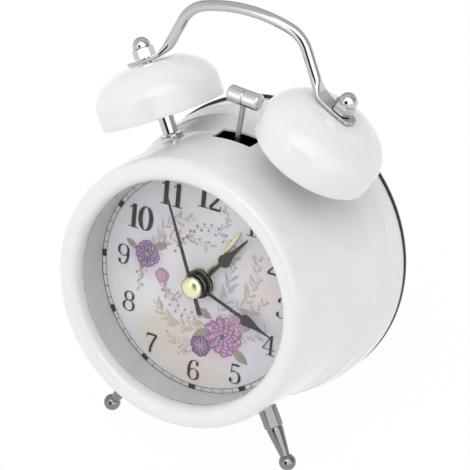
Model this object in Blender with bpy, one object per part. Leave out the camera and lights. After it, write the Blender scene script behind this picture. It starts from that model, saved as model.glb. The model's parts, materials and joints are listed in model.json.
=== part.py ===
"""Twin-bell quartz alarm clock: a round steel case that leans back on two splayed feet and its rear rim.

The clock is laid out about its dial axis: X to the right as seen from the front, Y into the case, and
Z towards the twelve. The empty named clock_frame then leans it back until both feet and the rear cover
touch the ground, and centres it over the origin. Lengths are in metres.
"""

import math

import bmesh
import bpy
from mathutils import Matrix, Vector

# Fits shared by all pieces
GAP = 0.0003
OVERRUN = 0.002
WELD = 0.000001
ROUND_STEPS = 48
BELL_STEPS = 40
HANDLE_SIDES = 10
FINE_STEPS = 20
SMALL_STEPS = 12

# Case: drawn steel drum with a rolled bezel, a waist and a flared rear; each flare is over the bezel,
# and the rear room lies behind the movement
SHEET = 0.0006
BEZEL_RADIUS = 0.0400
BEZEL_WIDTH = 0.0065
BEZEL_FRONT = 0.0031
BEZEL_BACK = 0.0015
BEZEL_LIP = 0.0008
DRUM_FLARE = 0.0008
WAIST_LENGTH = 0.0030
WAIST_FLARE = 0.00135
RIDGE_LENGTH = 0.0078
RIDGE_FLARE = 0.00325
STEP_LENGTH = 0.0042
STEP_FLARE = 0.00435
FLANGE_LENGTH = 0.0100
FLANGE_FLARE = 0.0049
REAR_ROOM = 0.0218
SLOT_WIDTH = 0.0126
SLOT_LENGTH = 0.0070

# Dial group: lens, inner wall, printed dial and the frame that carries it
LENS_THICKNESS = 0.0012
LENS_BEARING = 0.0025
DIAL_DEPTH = 0.0118
DIAL_THICKNESS = 0.0005
WALL_THICKNESS = 0.0016
WALL_FLANGE = 0.0014
FRAME_THICKNESS = 0.0015
PILLAR_RADIUS = 0.0022
PILLAR_INSET = 0.0011
PILLAR_ANGLES = (65, 180, 295)

# Movement: quartz works in a closed housing behind the dial
MOVEMENT_WIDTH = 0.0500
MOVEMENT_HEIGHT = 0.0420
MOVEMENT_THICKNESS = 0.0150
MOVEMENT_DROP = 0.0030
MOVEMENT_EDGE = 0.0012
BUSH_WALL = 0.0005
BUSH_PROUD = 0.0007

# Hand arbors, nested from the second hand outwards, and the depth of each hand
ARBOR_RADIUS = 0.00045
PIPE_WALL = 0.0004
ARBOR_DEPTH = 0.0160
HAND_SHEET = 0.0003
BOSS_RADIUS = 0.0026
ALARM_BOSS_RADIUS = 0.0037
CAP_RADIUS = 0.0031
CAP_HEIGHT = 0.0013
CAP_DEPTH = 0.0052
SECOND_DEPTH = 0.0055
MINUTE_DEPTH = 0.0079
HOUR_DEPTH = 0.0088
ALARM_DEPTH = 0.0101
SECOND_BOSS = 0.0005
SECOND_BOSS_SHARE = 0.7
MINUTE_BOSS = 0.0019
HOUR_BOSS = 0.0010
SECOND_LENGTH = 0.0294
SECOND_TAIL = 0.0083
MINUTE_LENGTH = 0.0268
HOUR_LENGTH = 0.0234
ALARM_LENGTH = 0.0224
SECOND_WIDTH = 0.0010
MINUTE_WIDTH = 0.0028
HOUR_WIDTH = 0.0034
MINUTE_BULGE = 0.0180
HOUR_BULGE = 0.0142
ALARM_WIDTH = 0.0010
ALARM_TAIL = 0.0020
ALARM_BOSS = 0.0004
SECOND_ANGLE = 338.2
MINUTE_ANGLE = 108.4
HOUR_ANGLE = 40.0
ALARM_ANGLE = 32.1

# Bells, their posts, washers, inner nuts and domed cap nuts
BELL_SETBACK = 0.0016
BELL_LEAN = 27.1
BELL_SHIFT = 0.0030
BELL_RADIUS = 0.0184
BELL_HEIGHT = 0.0163
BELL_SKIRT = 0.0053
BELL_WALL = 0.0008
BELL_SEAT_RADIUS = 0.0086
BELL_RISE = 0.0077
POST_RADIUS = 0.00205
STUD_RADIUS = 0.0014
WASHER_RADIUS = 0.0029
WASHER_THICKNESS = 0.0006
NUT_ACROSS_CORNERS = 0.00635
NUT_HEIGHT = 0.0030
CAP_NUT_DOME_RADIUS = 0.00255
CAP_NUT_DOME_HEIGHT = 0.0030
THIN_NUT_HEIGHT = 0.0022

# Carrying handle: one rod with flattened, pierced ends; its shoulders and crown sit a little to the left
ROD_RADIUS = 0.00137
TAB_WIDTH = 0.0060
TAB_THICKNESS = 0.0010
TAB_OVERHANG = 0.0058
TAB_REACH = 0.0064
TAB_SQUARE_SHARE = 0.35
SHOULDER_INSET = 0.01315
SHOULDER_RISE = 0.0189
CROWN_RISE = 0.00575
HANDLE_SHIFT = 0.00045
HEEL_BEND = 0.0060
SHOULDER_BEND = 0.0050
CROWN_BEND = 0.0540

# Hammer and the drive that swings it
HAMMER_PIVOT_RISE = 0.0025
HAMMER_PIVOT_HEIGHT = MOVEMENT_HEIGHT / 2 + HAMMER_PIVOT_RISE
HAMMER_PIVOT_OFFSET = 0.0011
HAMMER_LEAN = 4.8
HAMMER_HEAD_HEIGHT = 0.0529
HAMMER_HEAD_LENGTH = 0.0098
HAMMER_HEAD_RADIUS = 0.0025
HAMMER_HEAD_ROUND = 0.0007
HAMMER_GROOVE = 0.0005
ARM_WIDTH = 0.0015
ARM_THICKNESS = 0.0008
ARM_SOCKET_DEPTH = 0.0012
EYE_RADIUS = 0.0026
PIVOT_RADIUS = 0.0010
PIVOT_HEAD_RADIUS = 0.0018
PIVOT_HEAD = 0.0008
DRIVE_WIDTH = 0.0200
DRIVE_HEIGHT = 0.0110
DRIVE_THICKNESS = 0.0080
MOTOR_RADIUS = 0.0060
MOTOR_LENGTH = 0.0150
MOTOR_FLAT_SHARE = 0.85

# Feet: hexagonal collar, tapered leg and ball, screwed through the case
FOOT_DEPTH = 0.0186
FOOT_SPLAY = 31.1
FOOT_RAKE = 2.0
FOOT_LENGTH = 0.0177
COLLAR_LENGTH = 0.0068
COLLAR_ACROSS_CORNERS = 0.0057
LEG_TOP_RADIUS = 0.00245
LEG_END_RADIUS = 0.00145
BALL_RADIUS = 0.0025
BALL_FLAT = 0.0002

# Rear cover with its wells, battery bay and switch slot
COVER_INSET = 0.0003
COVER_RIM = 0.0022
COVER_EDGE = 0.0006
COVER_WALL = 0.0016
SPIGOT_DEPTH = 0.0040
SPIGOT_WALL = 0.0014
KNOB_INSET = 0.0110
KNOB_SPREAD = MOVEMENT_WIDTH / 2 - KNOB_INSET
KNOB_HEIGHT = 0.0080
WELL_RADIUS = 0.0080
WELL_DEPTH = 0.0040
KNOB_RADIUS = 0.0062
KNOB_PROUD = 0.0030
KNOB_STEM_RADIUS = 0.0015
KNOB_RIBS = 18
KNOB_RIB_DEPTH = 0.0005
SOCKET_DEPTH = 0.0030
SWITCH_HEIGHT = 0.0270
SWITCH_SLOT_WIDTH = 0.0110
SWITCH_SLOT_HEIGHT = 0.0040
SWITCH_LENGTH = 0.0050
SWITCH_TRAVEL = 0.0040
SWITCH_PROUD = 0.0016
SCREW_HEAD_RADIUS = 0.0024
SCREW_HEAD_HEIGHT = 0.0012
SCREW_DOME_SHARE = 0.6
SCREW_RADIUS = 0.0011
SCREW_LENGTH = 0.0090

# Battery, its bay, contacts and door
CELL_RADIUS = 0.00720
CELL_LENGTH = 0.0490
CELL_NIPPLE_RADIUS = 0.0027
CELL_NIPPLE_LENGTH = 0.0013
BAY_CLEARANCE = 0.0006
BAY_WALL = 0.0012
BAY_DROP = 0.0180
CONTACT_THICKNESS = 0.0004
CONTACT_WIDTH = 0.0080
SPRING_TURNS = 3
SPRING_WIRE = 0.0003
SPRING_RADIUS = 0.0030
SPRING_LENGTH = 0.0024
SPRING_TAPER_SHARE = 0.4
DOOR_THICKNESS = 0.0014
DOOR_OVERLAP = 0.0014
DOOR_GRIP_WIDTH = 0.0120

# Sizes that follow from those above
OPENING_RADIUS = BEZEL_RADIUS - BEZEL_WIDTH
DRUM_END_RADIUS = BEZEL_RADIUS + DRUM_FLARE
WAIST_RADIUS = BEZEL_RADIUS + WAIST_FLARE
RIDGE_RADIUS = BEZEL_RADIUS + RIDGE_FLARE
STEP_RADIUS = BEZEL_RADIUS + STEP_FLARE
FLANGE_RADIUS = BEZEL_RADIUS + FLANGE_FLARE
COVER_RADIUS = FLANGE_RADIUS - COVER_INSET
LENS_RADIUS = OPENING_RADIUS + LENS_BEARING
LENS_DEPTH = BEZEL_LIP + GAP
WALL_DEPTH = LENS_DEPTH + LENS_THICKNESS + GAP
FRAME_DEPTH = DIAL_DEPTH + DIAL_THICKNESS + GAP
MOVEMENT_DEPTH = FRAME_DEPTH + FRAME_THICKNESS + GAP
MOVEMENT_BACK = MOVEMENT_DEPTH + MOVEMENT_THICKNESS
FLANGE_DEPTH = MOVEMENT_BACK + REAR_ROOM
STEP_DEPTH = FLANGE_DEPTH - FLANGE_LENGTH
RIDGE_DEPTH = STEP_DEPTH - STEP_LENGTH
WAIST_DEPTH = RIDGE_DEPTH - RIDGE_LENGTH
DRUM_DEPTH = WAIST_DEPTH - WAIST_LENGTH
BELL_PLANE = DRUM_DEPTH - BELL_SETBACK
INNER_RADIUS = BEZEL_RADIUS - SHEET - 2 * GAP
PILLAR_CIRCLE = INNER_RADIUS - PILLAR_RADIUS - PILLAR_INSET
COVER_DEPTH = FLANGE_DEPTH + GAP
COVER_BACK = COVER_DEPTH + COVER_RIM
MINUTE_PIPE = ARBOR_RADIUS + GAP + PIPE_WALL
HOUR_PIPE = MINUTE_PIPE + GAP + PIPE_WALL
ALARM_PIPE = HOUR_PIPE + GAP + PIPE_WALL
BUSH_BORE = ALARM_PIPE + GAP
BUSH_RADIUS = BUSH_BORE + BUSH_WALL
FOOT_ANGLE = math.radians(FOOT_SPLAY)
FOOT_TILT = math.radians(FOOT_RAKE)

# Places along a leaning bell axis, measured from its shifted origin level with the dial's centre
BELL_ANGLE = math.radians(BELL_LEAN)
STUD_HOLE = STUD_RADIUS + GAP
AXIS_MISS = BELL_SHIFT * math.cos(BELL_ANGLE)
AXIS_SKEW = AXIS_MISS / DRUM_END_RADIUS
POST_SURFACE = math.sqrt(DRUM_END_RADIUS ** 2 - AXIS_MISS ** 2) - BELL_SHIFT * math.sin(BELL_ANGLE)
BELL_RIM_REACH = POST_SURFACE + BELL_RISE
DOME_SHARE = math.sqrt(1 - (BELL_SEAT_RADIUS / BELL_RADIUS) ** 2)
BELL_TOP = BELL_RIM_REACH + BELL_SKIRT + (BELL_HEIGHT - BELL_SKIRT) * DOME_SHARE
TAB_REST = BELL_TOP + GAP
NUT_REST = TAB_REST + TAB_THICKNESS + GAP
TAB_X = BELL_SHIFT + (TAB_REST + TAB_THICKNESS / 2) * math.sin(BELL_ANGLE)
TAB_Z = (TAB_REST + TAB_THICKNESS / 2) * math.cos(BELL_ANGLE)

FINISHES = {
    "white_enamel": ((0.86, 0.86, 0.86), 0.25, 0.0),
    "chrome": ((0.72, 0.72, 0.73), 0.12, 1.0),
    "nickel": ((0.42, 0.42, 0.43), 0.22, 1.0),
    "satin_steel": ((0.62, 0.62, 0.63), 0.35, 1.0),
    "clear_lens": ((0.90, 0.92, 0.92), 0.05, 0.0),
    "grey_plastic": ((0.52, 0.52, 0.52), 0.55, 0.0),
    "dial_print": ((0.62, 0.60, 0.65), 0.60, 0.0),
    "black_hand": ((0.03, 0.03, 0.03), 0.35, 0.0),
    "gold_hand": ((0.72, 0.60, 0.30), 0.30, 1.0),
    "brass": ((0.80, 0.70, 0.42), 0.20, 1.0),
    "black_plastic": ((0.03, 0.03, 0.03), 0.45, 0.0),
    "white_plastic": ((0.75, 0.75, 0.74), 0.45, 0.0),
    "battery_wrap": ((0.05, 0.12, 0.25), 0.35, 0.0),
}


def finish(name):
    """The named finish as a material, made on first use."""
    material = bpy.data.materials.get(name)
    if material is None:
        colour, roughness, metallic = FINISHES[name]
        material = bpy.data.materials.new(name)
        material.use_nodes = True
        shader = material.node_tree.nodes["Principled BSDF"]
        shader.inputs["Base Color"].default_value = (*colour, 1)
        shader.inputs["Roughness"].default_value = roughness
        shader.inputs["Metallic"].default_value = metallic
    return material


def empty(name, parent=None, location=(0, 0, 0), rotation=(0, 0, 0)):
    """An axis or frame that pieces are parented to."""
    axis = bpy.data.objects.new(name, None)
    bpy.context.scene.collection.objects.link(axis)
    axis.parent = parent
    axis.location = location
    axis.rotation_euler = rotation
    return axis


def piece(name, shape, parent, finish_name, location=(0, 0, 0), rotation=(0, 0, 0)):
    """An object made from a bmesh, with its finish, on its parent."""
    bmesh.ops.recalc_face_normals(shape, faces=shape.faces)
    mesh = bpy.data.meshes.new(name)
    shape.to_mesh(mesh)
    shape.free()
    mesh.shade_smooth()
    mesh.set_sharp_from_angle(angle=math.radians(35))
    mesh.materials.append(finish(finish_name))
    made = bpy.data.objects.new(name, mesh)
    bpy.context.scene.collection.objects.link(made)
    made.parent = parent
    made.location = location
    made.rotation_euler = rotation
    return made


def boolean(target, tool, operation):
    """Joins a helper to the target or cuts it away, and keeps the helper out of the model."""
    tool.hide_render = True
    tool.display_type = "WIRE"
    change = target.modifiers.new(tool.name, "BOOLEAN")
    change.operation = operation
    change.solver = "EXACT"
    change.object = tool


def cut(target, *tools):
    for tool in tools:
        boolean(target, tool, "DIFFERENCE")


def join(target, *tools):
    for tool in tools:
        boolean(target, tool, "UNION")


def turned(outline, steps):
    """A body turned about Z from (radius, height) points, closed by the axis or, as a ring, by itself."""
    shape = bmesh.new()
    corners = [shape.verts.new((radius, 0, height)) for radius, height in outline]
    edges = [shape.edges.new(pair) for pair in zip(corners, corners[1:])]
    if outline[0][0] > 0:
        edges.append(shape.edges.new((corners[-1], corners[0])))
    bmesh.ops.spin(shape, geom=corners + edges, cent=(0, 0, 0), axis=(0, 0, 1), dvec=(0, 0, 0),
                   angle=math.tau, steps=steps, use_merge=True)
    bmesh.ops.remove_doubles(shape, verts=shape.verts, dist=WELD)
    return shape


def rod(radius, low, high, steps):
    """A plain round bar along Z."""
    return turned([(0, low), (radius, low), (radius, high), (0, high)], steps)


def tube(inner, outer, low, high, steps):
    """A plain tube along Z."""
    return turned([(inner, low), (outer, low), (outer, high), (inner, high)], steps)


def extruded(outline, low, high):
    """A flat outline in X and Y, extruded along Z."""
    shape = bmesh.new()
    face = shape.faces.new([shape.verts.new((x, y, low)) for x, y in outline])
    raised = bmesh.ops.extrude_face_region(shape, geom=[face])["geom"]
    tops = [item for item in raised if isinstance(item, bmesh.types.BMVert)]
    bmesh.ops.translate(shape, verts=tops, vec=(0, 0, high - low))
    return shape


def block(low, high, edge=0):
    """A box between two corners, with its edges bevelled by edge."""
    shape = bmesh.new()
    middle = (Vector(low) + Vector(high)) / 2
    size = Vector(high) - Vector(low)
    bmesh.ops.create_cube(shape, size=1, matrix=Matrix.Translation(middle) @ Matrix.Diagonal((*size, 1)))
    if edge > 0:
        bmesh.ops.bevel(shape, geom=shape.edges[:], offset=edge, segments=1, affect="EDGES")
    return shape


def arc(centre, radii, start, end, steps):
    """Points of an elliptic arc, with its angles in degrees."""
    angles = [math.radians(start + (end - start) * i / steps) for i in range(steps + 1)]
    return [(centre[0] + radii[0] * math.cos(a), centre[1] + radii[1] * math.sin(a)) for a in angles]


def on_circle(radius, clockwise):
    """The place on the dial, as X and Z, of an angle clockwise from twelve."""
    angle = math.radians(clockwise)
    return radius * math.sin(angle), radius * math.cos(angle)


def lean_back():
    """The angle at which both feet and the lowest edge at the back stand on one plane."""
    foot = ball_centre(1)
    angles = []
    for radius, depth in ((FLANGE_RADIUS, FLANGE_DEPTH), (COVER_RADIUS, COVER_BACK - COVER_EDGE)):
        run = depth - foot.y
        drop = -foot.z - radius
        rise = (BALL_RADIUS - BALL_FLAT) / math.hypot(run, drop)
        angles.append(math.atan2(drop, run) + math.asin(rise))
    return min(angles)


def foot_direction(side):
    """The way a foot points, out of the case."""
    sideways = side * math.sin(FOOT_ANGLE) * math.cos(FOOT_TILT)
    return Vector((sideways, -math.sin(FOOT_TILT), -math.cos(FOOT_ANGLE) * math.cos(FOOT_TILT)))


def foot_base(side):
    """Where a foot's axis leaves the case."""
    x, z = on_circle(case_radius_at(FOOT_DEPTH), 180 - side * FOOT_SPLAY)
    return Vector((x, FOOT_DEPTH, z))


def ball_centre(side):
    return foot_base(side) + foot_direction(side) * FOOT_LENGTH


def case_radius_at(depth):
    """The outer radius of the front drum, which widens slightly towards the waist."""
    return BEZEL_RADIUS + (DRUM_END_RADIUS - BEZEL_RADIUS) * depth / DRUM_DEPTH


def case_outline():
    """The outer line of the drawn case as (radius, depth), from the bezel's inner lip to the rear edge."""
    crest = BEZEL_RADIUS - BEZEL_WIDTH / 2
    inner_roll = arc((crest, 0), (BEZEL_WIDTH / 2, BEZEL_FRONT), -180, -90, 5)
    outer_roll = arc((crest, BEZEL_BACK), (BEZEL_WIDTH / 2, BEZEL_FRONT + BEZEL_BACK), -90, 0, 6)
    return [
        (OPENING_RADIUS, BEZEL_LIP),
        *inner_roll,
        *outer_roll[1:],
        (DRUM_END_RADIUS, DRUM_DEPTH),
        (WAIST_RADIUS, WAIST_DEPTH),
        (RIDGE_RADIUS, RIDGE_DEPTH),
        (STEP_RADIUS, STEP_DEPTH),
        (FLANGE_RADIUS, (STEP_DEPTH + FLANGE_DEPTH) / 2),
        (FLANGE_RADIUS, FLANGE_DEPTH),
    ]


def make_case(dial_axis, bell_axes, foot_axes):
    """The drawn steel shell: an open turned skin given its sheet thickness, then pierced."""
    shape = bmesh.new()
    corners = [shape.verts.new((radius, 0, depth)) for radius, depth in case_outline()]
    edges = [shape.edges.new(pair) for pair in zip(corners, corners[1:])]
    bmesh.ops.spin(shape, geom=corners + edges, cent=(0, 0, 0), axis=(0, 0, 1), dvec=(0, 0, 0),
                   angle=math.tau, steps=ROUND_STEPS, use_merge=True)
    bmesh.ops.remove_doubles(shape, verts=shape.verts, dist=WELD)
    case = piece("case", shape, dial_axis, "white_enamel")
    skin = case.modifiers.new("sheet", "SOLIDIFY")
    skin.thickness = SHEET
    skin.offset = -1
    slot = block((-SLOT_WIDTH / 2, -FLANGE_RADIUS, BELL_PLANE - SLOT_LENGTH / 2),
                 (SLOT_WIDTH / 2, -WAIST_RADIUS / 2, BELL_PLANE + SLOT_LENGTH / 2))
    cut(case, piece("slot_cutter", slot, dial_axis, "white_enamel"))
    for side, axis in bell_axes.items():
        hole = rod(STUD_HOLE, WAIST_RADIUS / 2, FLANGE_RADIUS + OVERRUN, SMALL_STEPS)
        cut(case, piece(f"{side}_post_hole", hole, axis, "white_enamel"))
    for side, axis in foot_axes.items():
        hole = rod(STUD_HOLE, -WAIST_RADIUS / 2, OVERRUN, SMALL_STEPS)
        cut(case, piece(f"{side}_foot_hole", hole, axis, "white_enamel"))


def make_dial_group(dial_axis):
    """Lens, inner wall and dial, one behind the other against the bezel's lip."""
    lens = rod(LENS_RADIUS, LENS_DEPTH, LENS_DEPTH + LENS_THICKNESS, ROUND_STEPS)
    piece("lens", lens, dial_axis, "clear_lens")
    wall_end = DIAL_DEPTH - GAP
    wall_outer = OPENING_RADIUS + WALL_THICKNESS
    wall = turned([
        (OPENING_RADIUS, WALL_DEPTH), (wall_outer, WALL_DEPTH), (wall_outer, wall_end - WALL_FLANGE),
        (INNER_RADIUS, wall_end - WALL_FLANGE), (INNER_RADIUS, wall_end), (OPENING_RADIUS, wall_end),
    ], ROUND_STEPS)
    piece("dial_ring", wall, dial_axis, "grey_plastic")
    dial = tube(BUSH_RADIUS + GAP, INNER_RADIUS, DIAL_DEPTH, DIAL_DEPTH + DIAL_THICKNESS, ROUND_STEPS)
    piece("dial", dial, dial_axis, "dial_print")


def make_frame(dial_axis):
    """The moulded frame behind the dial, with three pillars that the cover's screws go into."""
    plate = tube(BUSH_RADIUS + GAP, INNER_RADIUS, FRAME_DEPTH, FRAME_DEPTH + FRAME_THICKNESS, ROUND_STEPS)
    frame = piece("dial_frame", plate, dial_axis, "black_plastic")
    pillar_start = FRAME_DEPTH + FRAME_THICKNESS / 2
    pillar_end = COVER_BACK - COVER_WALL - GAP
    bore = SCREW_RADIUS + GAP
    bore_end = COVER_BACK - SCREW_LENGTH - GAP
    for number, angle in enumerate(PILLAR_ANGLES, 1):
        x, z = on_circle(PILLAR_CIRCLE, angle)
        pillar = turned([
            (0, pillar_start), (PILLAR_RADIUS, pillar_start), (PILLAR_RADIUS, pillar_end),
            (bore, pillar_end), (bore, bore_end), (0, bore_end),
        ], SMALL_STEPS)
        join(frame, piece(f"pillar_{number}", pillar, dial_axis, "black_plastic", (x, -z, 0)))


def make_movement(dial_axis, knob_axes):
    """The movement's housing with its bored bush in front and the two setting sockets behind."""
    half = MOVEMENT_WIDTH / 2
    top = -MOVEMENT_HEIGHT / 2 + MOVEMENT_DROP
    body = block((-half, top, MOVEMENT_DEPTH), (half, top + MOVEMENT_HEIGHT, MOVEMENT_BACK), MOVEMENT_EDGE)
    movement = piece("movement", body, dial_axis, "black_plastic")
    bush = rod(BUSH_RADIUS, DIAL_DEPTH - BUSH_PROUD, MOVEMENT_DEPTH + MOVEMENT_EDGE, FINE_STEPS)
    join(movement, piece("bush", bush, dial_axis, "brass"))
    bore = rod(BUSH_BORE, DIAL_DEPTH - OVERRUN, ARBOR_DEPTH + GAP, FINE_STEPS)
    cut(movement, piece("bush_bore", bore, dial_axis, "brass"))
    for name, axis in knob_axes.items():
        floor = MOVEMENT_BACK - SOCKET_DEPTH
        socket = rod(KNOB_STEM_RADIUS + GAP, floor, MOVEMENT_BACK + OVERRUN, SMALL_STEPS)
        cut(movement, piece(f"{name}_socket", socket, axis, "black_plastic"))


def spade(length, width, bulge):
    """Outline of a spade-shaped hand that points to -Y, widest at the distance bulge from its centre."""
    stem_shares = ((0, 0.19), (0.78, 0.17), (0.86, 0.22), (0.93, 0.42), (1, 0.50))
    tip_shares = ((0.12, 0.45), (0.26, 0.30), (0.45, 0.20), (0.72, 0.12), (1, 0.05))
    right = [(width * half, -bulge * along) for along, half in stem_shares]
    right += [(width * half, -bulge - (length - bulge) * along) for along, half in tip_shares]
    return right + [(-x, y) for x, y in reversed(right)]


def baton(length, tail, width):
    """Outline of a straight tapered hand that points to -Y, with a tail behind its boss."""
    tip_share, root_share, tail_share = 0.2, 0.45, 0.6
    right = [(width * tail_share, tail), (width * root_share, 0), (width * tip_share, -length)]
    return right + [(-x, y) for x, y in reversed(right)]


def make_hand(name, axis, outline, depth, boss, finish_name):
    """A stamped hand: blade and boss in one, pierced for its pipe. boss is (radius, front, back, bore)."""
    boss_radius, front, back, bore = boss
    hand = piece(name, extruded(outline, depth, depth + HAND_SHEET), axis, finish_name)
    join(hand, piece(f"{name}_boss", rod(boss_radius, front, back, FINE_STEPS), axis, finish_name))
    hole = rod(bore, front - OVERRUN, back + OVERRUN, FINE_STEPS)
    cut(hand, piece(f"{name}_bore", hole, axis, finish_name))


def make_hands(hand_axes):
    """Four hands, each on its own pipe or arbor, and the domed cap on the second arbor."""
    second, minute, hour, alarm = (hand_axes[name] for name in ("second", "minute", "hour", "alarm"))
    boss = (BOSS_RADIUS * SECOND_BOSS_SHARE, SECOND_DEPTH, SECOND_DEPTH + SECOND_BOSS, ARBOR_RADIUS + GAP)
    outline = baton(SECOND_LENGTH, SECOND_TAIL, SECOND_WIDTH)
    make_hand("second_hand", second, outline, SECOND_DEPTH, boss, "black_hand")
    minute_back = MINUTE_DEPTH + HAND_SHEET * 2
    boss = (BOSS_RADIUS, minute_back - MINUTE_BOSS, minute_back, MINUTE_PIPE + GAP)
    outline = spade(MINUTE_LENGTH, MINUTE_WIDTH, MINUTE_BULGE)
    make_hand("minute_hand", minute, outline, MINUTE_DEPTH, boss, "black_hand")
    boss = (BOSS_RADIUS, HOUR_DEPTH, HOUR_DEPTH + HOUR_BOSS, HOUR_PIPE + GAP)
    outline = spade(HOUR_LENGTH, HOUR_WIDTH, HOUR_BULGE)
    make_hand("hour_hand", hour, outline, HOUR_DEPTH, boss, "black_hand")
    boss = (ALARM_BOSS_RADIUS, ALARM_DEPTH, ALARM_DEPTH + ALARM_BOSS, ALARM_PIPE + GAP)
    outline = baton(ALARM_LENGTH, ALARM_TAIL, ALARM_WIDTH)
    make_hand("alarm_hand", alarm, outline, ALARM_DEPTH, boss, "gold_hand")
    cap = [(0, CAP_DEPTH - CAP_HEIGHT)]
    cap += [(r, z) for r, z in arc((0, CAP_DEPTH), (CAP_RADIUS, CAP_HEIGHT), -75, 0, 5)]
    cap += [(ARBOR_RADIUS + GAP, CAP_DEPTH), (ARBOR_RADIUS + GAP, CAP_DEPTH - CAP_HEIGHT / 2)]
    cap += [(0, CAP_DEPTH - CAP_HEIGHT / 2)]
    piece("hand_cap", turned(cap, FINE_STEPS), second, "brass")
    arbor = rod(ARBOR_RADIUS, CAP_DEPTH - CAP_HEIGHT / 2 + GAP, ARBOR_DEPTH, SMALL_STEPS)
    piece("second_arbor", arbor, second, "satin_steel")
    pipes = (("minute_pipe", minute, MINUTE_PIPE, MINUTE_DEPTH), ("hour_pipe", hour, HOUR_PIPE, HOUR_DEPTH),
             ("alarm_pipe", alarm, ALARM_PIPE, ALARM_DEPTH))
    for name, axis, radius, depth in pipes:
        piece(name, tube(radius - PIPE_WALL, radius, depth, ARBOR_DEPTH, SMALL_STEPS), axis, "brass")


def bell_outline():
    """The bell's closed section as (radius, height over its rim): skirt and dome, then their inner side."""
    sides = []
    for radius, height in ((BELL_RADIUS, BELL_HEIGHT), (BELL_RADIUS - BELL_WALL, BELL_HEIGHT - BELL_WALL)):
        top = math.degrees(math.acos(BELL_SEAT_RADIUS / radius))
        sides.append([(radius, 0)] + arc((0, BELL_SKIRT), (radius, height - BELL_SKIRT), 0, top, 7))
    outer, inner = sides
    return outer + [(STUD_HOLE, outer[-1][1]), (STUD_HOLE, inner[-1][1])] + inner[::-1]


def make_bell(side, axis):
    """One bell with its post, base washer, inner nut and cap nut, all along the leaning bell axis."""
    outline = [(radius, BELL_RIM_REACH + height) for radius, height in bell_outline()]
    piece(f"{side}_bell", turned(outline, BELL_STEPS), axis, "white_enamel")
    washer_low = POST_SURFACE + GAP + WASHER_RADIUS * AXIS_SKEW
    washer_high = washer_low + WASHER_THICKNESS
    washer = tube(STUD_HOLE, WASHER_RADIUS, washer_low, washer_high, FINE_STEPS)
    piece(f"{side}_post_washer", washer, axis, "chrome")
    nut_top = POST_SURFACE - SHEET - 2 * GAP - NUT_ACROSS_CORNERS / 2 * AXIS_SKEW
    stud_start = nut_top - THIN_NUT_HEIGHT - GAP
    shoulder = BELL_TOP - BELL_WALL - GAP
    stud_end = NUT_REST + NUT_HEIGHT
    post = turned([
        (0, stud_start), (STUD_RADIUS, stud_start), (STUD_RADIUS, washer_high + GAP),
        (POST_RADIUS, washer_high + GAP), (POST_RADIUS, shoulder),
        (STUD_RADIUS, shoulder), (STUD_RADIUS, stud_end), (0, stud_end),
    ], SMALL_STEPS)
    piece(f"{side}_bell_post", post, axis, "chrome")
    nut = tube(STUD_HOLE, NUT_ACROSS_CORNERS / 2, nut_top - THIN_NUT_HEIGHT, nut_top, 6)
    piece(f"{side}_post_nut", nut, axis, "nickel")
    hexagon = turned([(0, NUT_REST), (NUT_ACROSS_CORNERS / 2, NUT_REST),
                      (NUT_ACROSS_CORNERS / 2, NUT_REST + NUT_HEIGHT), (0, NUT_REST + NUT_HEIGHT)], 6)
    cap_nut = piece(f"{side}_cap_nut", hexagon, axis, "chrome")
    dome_base = NUT_REST + NUT_HEIGHT / 2
    dome_foot = NUT_REST + NUT_HEIGHT + CAP_NUT_DOME_HEIGHT - CAP_NUT_DOME_RADIUS
    dome = [(0, dome_base), (CAP_NUT_DOME_RADIUS, dome_base)]
    dome += arc((0, dome_foot), (CAP_NUT_DOME_RADIUS, CAP_NUT_DOME_RADIUS), 0, 90, 5)[:-1]
    dome += [(0, dome_foot + CAP_NUT_DOME_RADIUS)]
    join(cap_nut, piece(f"{side}_nut_dome", turned(dome, FINE_STEPS), axis, "chrome"))
    thread = rod(STUD_HOLE, NUT_REST - OVERRUN, stud_end + GAP, SMALL_STEPS)
    cut(cap_nut, piece(f"{side}_nut_thread", thread, axis, "chrome"))


def rounded_path(corners, bends, steps):
    """Points along straight runs joined by arcs: one bend radius for each inner corner."""
    points = [corners[0]]
    for before, corner, after, radius in zip(corners, corners[1:], corners[2:], bends):
        to_start = (before - corner).normalized()
        to_end = (after - corner).normalized()
        half = to_start.angle(to_end) / 2
        start = corner + to_start * radius / math.tan(half)
        centre = corner + (to_start + to_end).normalized() * radius / math.sin(half)
        sweep = math.pi - 2 * half
        turn = (start - centre).cross(corner - start)
        for i in range(steps + 1):
            points.append(centre + Matrix.Rotation(sweep * i / steps, 3, turn) @ (start - centre))
    return points + [corners[-1]]


def handle_path():
    """The rod's centre line from one flattened end over the crown to the other."""
    halves = []
    for side in (-1, 1):
        inward = Vector((-side * math.cos(BELL_ANGLE), 0, math.sin(BELL_ANGLE)))
        seat = Vector((side * TAB_X, 0, TAB_Z))
        shoulder = Vector((side * (TAB_X - SHOULDER_INSET) - HANDLE_SHIFT, 0, TAB_Z + SHOULDER_RISE))
        heel = seat + inward * (TAB_REACH + side * HANDLE_SHIFT)
        halves.append([seat - inward * TAB_OVERHANG, heel, shoulder])
    left, right = halves
    crown = Vector((-HANDLE_SHIFT, 0, TAB_Z + SHOULDER_RISE + CROWN_RISE))
    bends = [HEEL_BEND, SHOULDER_BEND, CROWN_BEND, SHOULDER_BEND, HEEL_BEND]
    return rounded_path(left + [crown] + right[::-1], bends, 6)


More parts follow.
